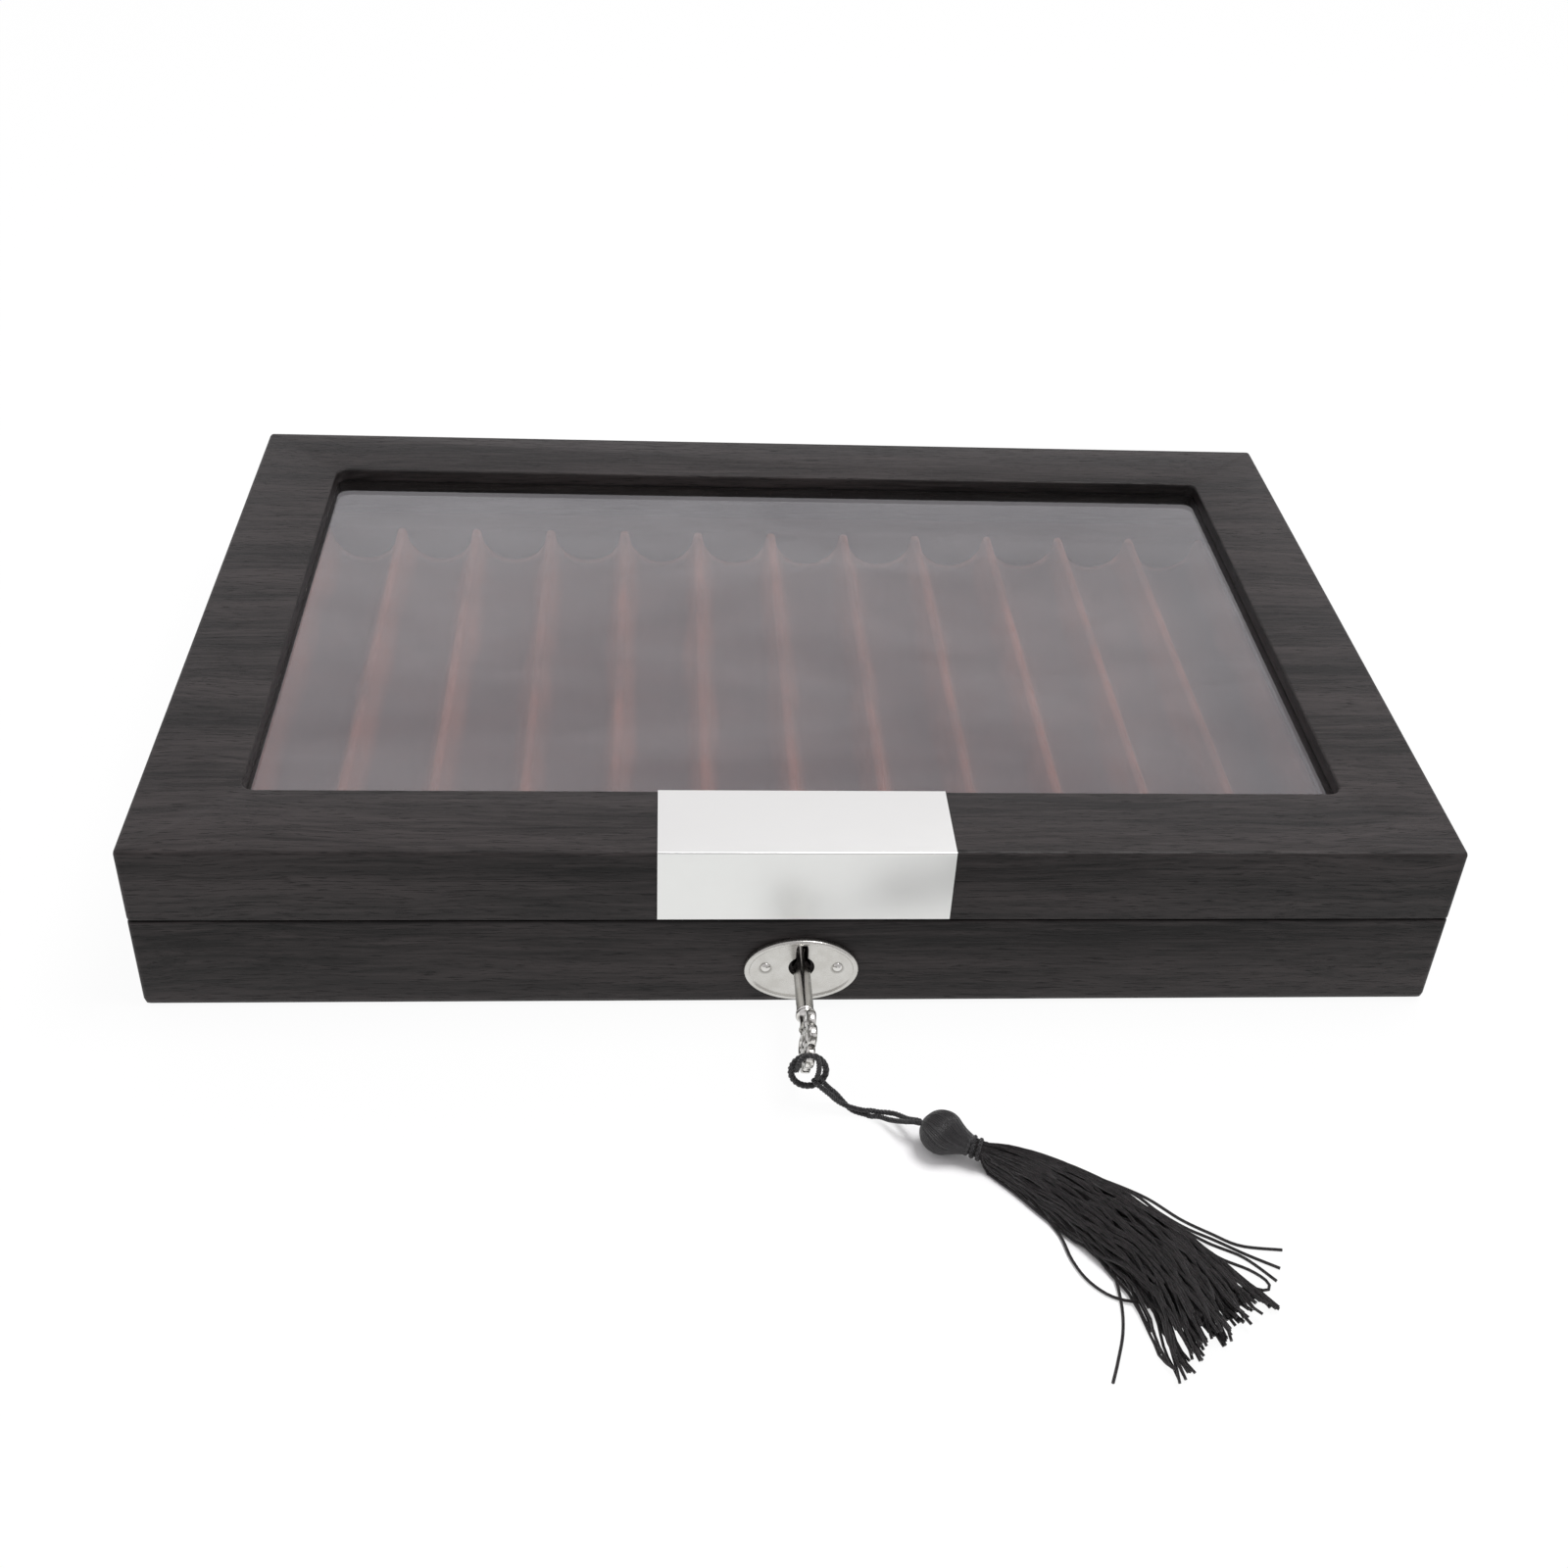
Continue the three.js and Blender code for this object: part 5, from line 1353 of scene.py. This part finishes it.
def plate_steps():
    """The rings from the back of the rim over its top to the sunk face, and through the keyhole."""
    rim = [
        (0.0, 0.2), (0.0, 1.2), (0.1, 1.5), (0.3, 1.7), (0.6, 1.8),
        (1.0, 1.8), (1.25, 1.7), (1.42, 1.5), (1.55, 1.32), (1.6, plate_face),
    ]
    hole = [(corner, plate_face), (0.0, 1.15), (0.0, plate_back)]
    steps = [(oval_place, inset, depth) for inset, depth in rim]
    steps += [(keyhole_place, grow, depth) for grow, depth in hole]
    return [*steps, (oval_place, corner, plate_back)]


def make_oval_plate():
    work = bmesh.new()
    turn = work.verts.layers.float.new("turn")
    for vert in bmesh.ops.create_circle(work, segments=72, radius=1)["verts"]:
        vert[turn] = math.atan2(vert.co.y, vert.co.x)
        vert.co = oval_place(vert[turn], corner, plate_back)
    edges = work.edges[:]
    for place, inset, depth in plate_steps():
        grown = bmesh.ops.extrude_edge_only(work, edges=edges)["geom"]
        edges = [g for g in grown if isinstance(g, bmesh.types.BMEdge)]
        for vert in (g for g in grown if isinstance(g, bmesh.types.BMVert)):
            vert.co = place(vert[turn], inset, depth)
    plate = show("oval_plate", shaped("oval_plate", work, 40), oval_nickel)
    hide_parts("lock_escutcheon")
    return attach(plate, "base")


oval_plate = make_oval_plate()
print("oval plate has", len(oval_plate.data.polygons), "faces")

# %% [markdown]
# ## Screws
#
# The hinges, the lock and the link plate are held by small countersunk screws with a straight slot. One
# screw is modelled, and the others are the same mesh in their own places. The slot is cut by slicing the
# flat head twice and pushing the strip between the cuts inwards.

# %% One slotted screw
slot_half, slot_depth = 0.22 * MM, 0.5 * MM


def screw_mesh(name, place):
    work = bmesh.new()
    outline = [
        (0, -7.0), (0.9, -6.1), (0.72, -5.8), (0.9, -5.5), (0.72, -5.2), (0.9, -4.9), (0.72, -4.6),
        (0.9, -4.3), (0.72, -4.0), (0.9, -3.6), (0.9, -0.85), (1.72, -0.05), (1.7, 0.0), (0, 0.0),
    ]
    spun(work, [Vector((r, 0, z)) * MM for r, z in outline], (0, 0, 0), (0, 0, 1), 24)
    bmesh.ops.remove_doubles(work, verts=work.verts, dist=1e-7)
    for side in (-slot_half, slot_half):
        everything = [*work.verts, *work.edges, *work.faces]
        bmesh.ops.bisect_plane(work, geom=everything, plane_co=(side, 0, 0), plane_no=(1, 0, 0), dist=1e-8)
    flat = [f for f in work.faces if f.calc_center_median().z > -1e-6 and abs(f.normal.z) > 0.9]
    strip = [f for f in flat if abs(f.calc_center_median().x) < slot_half]
    pushed = bmesh.ops.extrude_face_region(work, geom=strip)["geom"]
    floor_verts = [g for g in pushed if isinstance(g, bmesh.types.BMVert)]
    bmesh.ops.translate(work, verts=floor_verts, vec=(0, 0, -slot_depth))
    bmesh.ops.delete(work, geom=strip, context="FACES_ONLY")
    bmesh.ops.transform(work, matrix=place, verts=work.verts)
    return shaped(name, work, 40)


trial = screw_mesh("trial screw", Matrix.Identity(4))
print("a screw has", len(trial.polygons), "faces")
bpy.data.meshes.remove(trial)

# %% [markdown]
# The solid model says where each screw is. The lock's screws lie along the case's depth with their heads to
# the tray, those in the lid and the link plate point up with their heads below, and the rest stand with
# their heads on top. Each is turned by a chance angle, as a hand leaves it.

# %% Twelve screws in their places
def screw_place(node):
    """Where the screw's head is and which way it faces, from the box of its solid."""
    low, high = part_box(node)
    middle = (low + high) / 2
    if (high - low).y > 5 * MM:
        return Matrix.Translation((middle.x, high.y, middle.z)) @ Matrix.Rotation(-math.pi / 2, 4, "X")
    if "lid" in node or "strike" in node:
        return Matrix.Translation((middle.x, middle.y, low.z)) @ Matrix.Rotation(math.pi, 4, "X")
    return Matrix.Translation((middle.x, middle.y, high.z))


def make_screws():
    random.seed(5)
    made = []
    for node in sorted(n for n in nodes if "screw" in n):
        place = screw_place(node) @ Matrix.Rotation(random.uniform(0, math.pi), 4, "Z")
        screw = show(f"{node}_slotted", screw_mesh(node, place), nickel)
        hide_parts(node)
        made.append(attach(screw, nodes[node]["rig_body"]))
    return made


print(len(make_screws()), "screws")

# %% [markdown]
# ## The padded tray
#
# The tray is foam under suede. Its section is true in the solid model, but its skin is too straight for
# cloth over foam. The same form is cut across every few millimetres, and its points are then moved by a
# slow noise, less than half a millimetre, so the ridges and grooves swell and sink a little along their
# length.

# %% The tray's soft skin
tray_step, tray_swell = 5 * MM, 0.25 * MM


def crosscut(work, low, length, axis, step):
    """Cuts a form across, about every step along one axis, so that its skin has points to move."""
    way = Vector([1 if i == axis else 0 for i in range(3)])
    cuts = round(length / step)
    for cut in range(1, cuts):
        everything = [*work.verts, *work.edges, *work.faces]
        spot = low + way * (length * cut / cuts)
        bmesh.ops.bisect_plane(work, geom=everything, plane_co=spot, plane_no=way, dist=1e-7)


def make_tray():
    work = bmesh.new()
    work.from_mesh(nodes["pen_tray"].data)
    bmesh.ops.remove_doubles(work, verts=work.verts, dist=2e-6)
    bmesh.ops.dissolve_limit(work, angle_limit=math.radians(1), verts=work.verts, edges=work.edges)
    low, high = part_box("pen_tray")
    crosscut(work, low, (high - low).y, 1, tray_step)
    for vert in work.verts:
        if vert.co.z > low.z + 3 * MM:
            swell = noise.noise(Vector((vert.co.x * 60, vert.co.y * 38, vert.co.z * 60)))
            swell += 0.5 * noise.noise(Vector((vert.co.x * 160, vert.co.y * 120, 3.0)))
            vert.co.z += tray_swell * (swell - 0.6)
    tray = show("padded_tray", shaped("padded_tray", work, 50), suede_with_painted_ridge_highlight)
    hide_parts("pen_tray")
    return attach(tray, "base")


tray = make_tray()
print("tray has", len(tray.data.polygons), "faces")

# %% [markdown]
# ## The padded bars
#
# Four lined bars fill the room between the tray and the walls. They start as plain blocks. Their upper and
# upright edges are rounded, as cloth drawn round a corner is, and their tops sink in slow waves.

# %% The tray's padded bars
bar_edge, bar_step = 1.6 * MM, 6 * MM


def make_bar(side):
    node = f"tray_{side}_bar"
    low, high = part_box(node)
    size, middle = high - low, (low + high) / 2
    work = bmesh.new()
    bmesh.ops.create_cube(work, size=1, matrix=Matrix.Translation(middle) @ Matrix.Diagonal((*size, 1)))
    top = [e for e in work.edges if all(v.co.z > middle.z for v in e.verts)]
    upright = [e for e in work.edges if abs(e.verts[0].co.z - e.verts[1].co.z) > size.z / 2]
    bmesh.ops.bevel(
        work, geom=[*top, *upright], offset=bar_edge, offset_type="OFFSET", segments=4, profile=0.5,
        affect="EDGES", material=-1,
    )
    long_axis = 0 if size.x > size.y else 1
    crosscut(work, low, size[long_axis], long_axis, bar_step)
    for vert in work.verts:
        if vert.co.z > high.z - 2 * MM:
            along = vert.co[long_axis]
            sway = math.sin(along * 95) + 0.6 * math.sin(along * 233 + 1)
            vert.co.z -= (0.12 + 0.07 * sway) * MM
    bar = show(f"padded_{side}_bar", shaped(f"padded_{side}_bar", work, 50), suede)
    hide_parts(node)
    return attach(bar, "base")


bars = [make_bar(side) for side in sides]
print(len(bars), "bars")

# %% [markdown]
# ## The felt under the case
#
# A sheet of black felt covers the bottom board, so that the case doesn't scratch a shelf. It is cut from a
# flat sheet, glued down, and its edges are a little soft.

# %% The felt
def make_felt():
    low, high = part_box("base_felt")
    size, middle = high - low, (low + high) / 2
    work = bmesh.new()
    bmesh.ops.create_cube(work, size=1, matrix=Matrix.Translation(middle) @ Matrix.Diagonal((*size, 1)))
    bmesh.ops.bevel(
        work, geom=work.edges[:], offset=0.35 * MM, offset_type="OFFSET", segments=3, profile=0.5,
        affect="EDGES", material=-1,
    )
    felt_sheet = show("felt_sheet", shaped("felt_sheet", work, 60), felt)
    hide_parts("base_felt")
    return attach(felt_sheet, "base")


felt_sheet = make_felt()
print("felt is", in_mm(felt_sheet.dimensions), "mm")

# %% [markdown]
# ## The table
#
# The case stands on a white table. What the camera, metal and glass see of it is nearly all its own white,
# so that the table doesn't grey. Only in a strip under the tassel is it a plain lit surface, and there the
# tassel's faint shadow shows. The strip is long and narrow and lies as the tassel does.

# %% The floor
strip_way, strip_side = (0.781, -0.624, 0), (0.624, 0.781, 0)
strip_middle, strip_offset, strip_half = 0.152, 0.112, 0.026
strip_fade = (0.007, 0.017)


def beyond_strip(tree):
    """How far a place on the table is from the middle line of the strip under the tassel."""
    place = object_place(tree)
    along = vectors(tree, "DOT_PRODUCT", place, strip_way)
    aside = vectors(tree, "DOT_PRODUCT", place, strip_side)
    beside = maths(tree, "ABSOLUTE", maths(tree, "ADD", aside, strip_offset))
    past_ends = maths(tree, "ABSOLUTE", maths(tree, "SUBTRACT", along, strip_middle))
    return maths(tree, "MAXIMUM", beside, maths(tree, "SUBTRACT", past_ends, strip_half))


def table_finish():
    material, tree, inputs = finish("white table", (0.93, 0.93, 0.93), 0.9, Specular_IOR_Level=0.0)
    lit = tree.nodes["Principled BSDF"]
    white = put(tree, "ShaderNodeEmission", None, Color=(1, 1, 1, 1), Strength=1.0)
    path = tree.nodes.new("ShaderNodeLightPath").outputs
    mirrored = maths(tree, "MAXIMUM", path["Is Glossy Ray"], path["Is Transmission Ray"])
    seen = maths(tree, "MAXIMUM", path["Is Camera Ray"], mirrored)
    share = maths(tree, "MULTIPLY", seen, between(tree, beyond_strip(tree), *strip_fade, 0.0, 0.94))
    both = put(tree, "ShaderNodeMixShader", None, s0=share, s1=lit.outputs[0], s2=white.outputs[0])
    tree.links.new(both.outputs[0], tree.nodes["Material Output"].inputs["Surface"])
    return material


def make_floor():
    work = bmesh.new()
    bmesh.ops.create_grid(work, x_segments=8, y_segments=8, size=4.0)
    bmesh.ops.translate(work, verts=work.verts, vec=(0, 0, -0.1 * MM))
    mesh = bpy.data.meshes.new("floor")
    work.to_mesh(mesh)
    work.free()
    mesh.materials.append(table_finish())
    floor = bpy.data.objects.new("floor", mesh)
    bpy.context.scene.collection.objects.link(floor)
    return floor


floor = make_floor()
print("table is", round(floor.dimensions.x, 1), "m wide")

# %% [markdown]
# ## The room and the lamp
#
# A plain white room lights the case from all sides, less from the front than from the back. One large soft
# lamp hangs overhead, a little to the right, and gives the tassel its faint shadow. The camera itself sees
# the room as white.

# %% The room and the lamp
front_level, back_level = 0.55, 1.04
lamp_place = Vector((0.40, -0.02, 1.28))


def light_room():
    world = bpy.data.worlds.new("white room")
    bpy.context.scene.world = world
    world.use_nodes = True
    tree = world.node_tree
    background = tree.nodes["Background"]
    way = tree.nodes.new("ShaderNodeTexCoord").outputs["Generated"]
    level = between(tree, axes(tree, way)["Y"], -1.0, 1.0, front_level, back_level)
    haze = cloud(tree, stretch(tree, way, (2.2, 2.2, 3.0)), 1.0, 3.0)
    level = maths(tree, "MULTIPLY", level, between(tree, haze, 0.3, 0.7, 0.88, 1.08))
    path = tree.nodes.new("ShaderNodeLightPath").outputs
    tree.links.new(maths(tree, "MAXIMUM", level, path["Is Camera Ray"]), background.inputs["Strength"])
    background.inputs["Color"].default_value = (1.0, 0.98, 1.0, 1)


def hang_lamp():
    lamp = bpy.data.lights.new("soft lamp", "AREA")
    lamp.shape = "RECTANGLE"
    lamp.size, lamp.size_y = 0.6, 0.5
    lamp.energy = 11.0
    holder = bpy.data.objects.new("soft lamp", lamp)
    facing = (-lamp_place).to_track_quat("-Z", "Y").to_matrix().to_4x4()
    holder.matrix_world = Matrix.Translation(lamp_place) @ facing
    bpy.context.scene.collection.objects.link(holder)
    return holder


light_room()
print("one lamp of", hang_lamp().data.energy, "W and a white room")
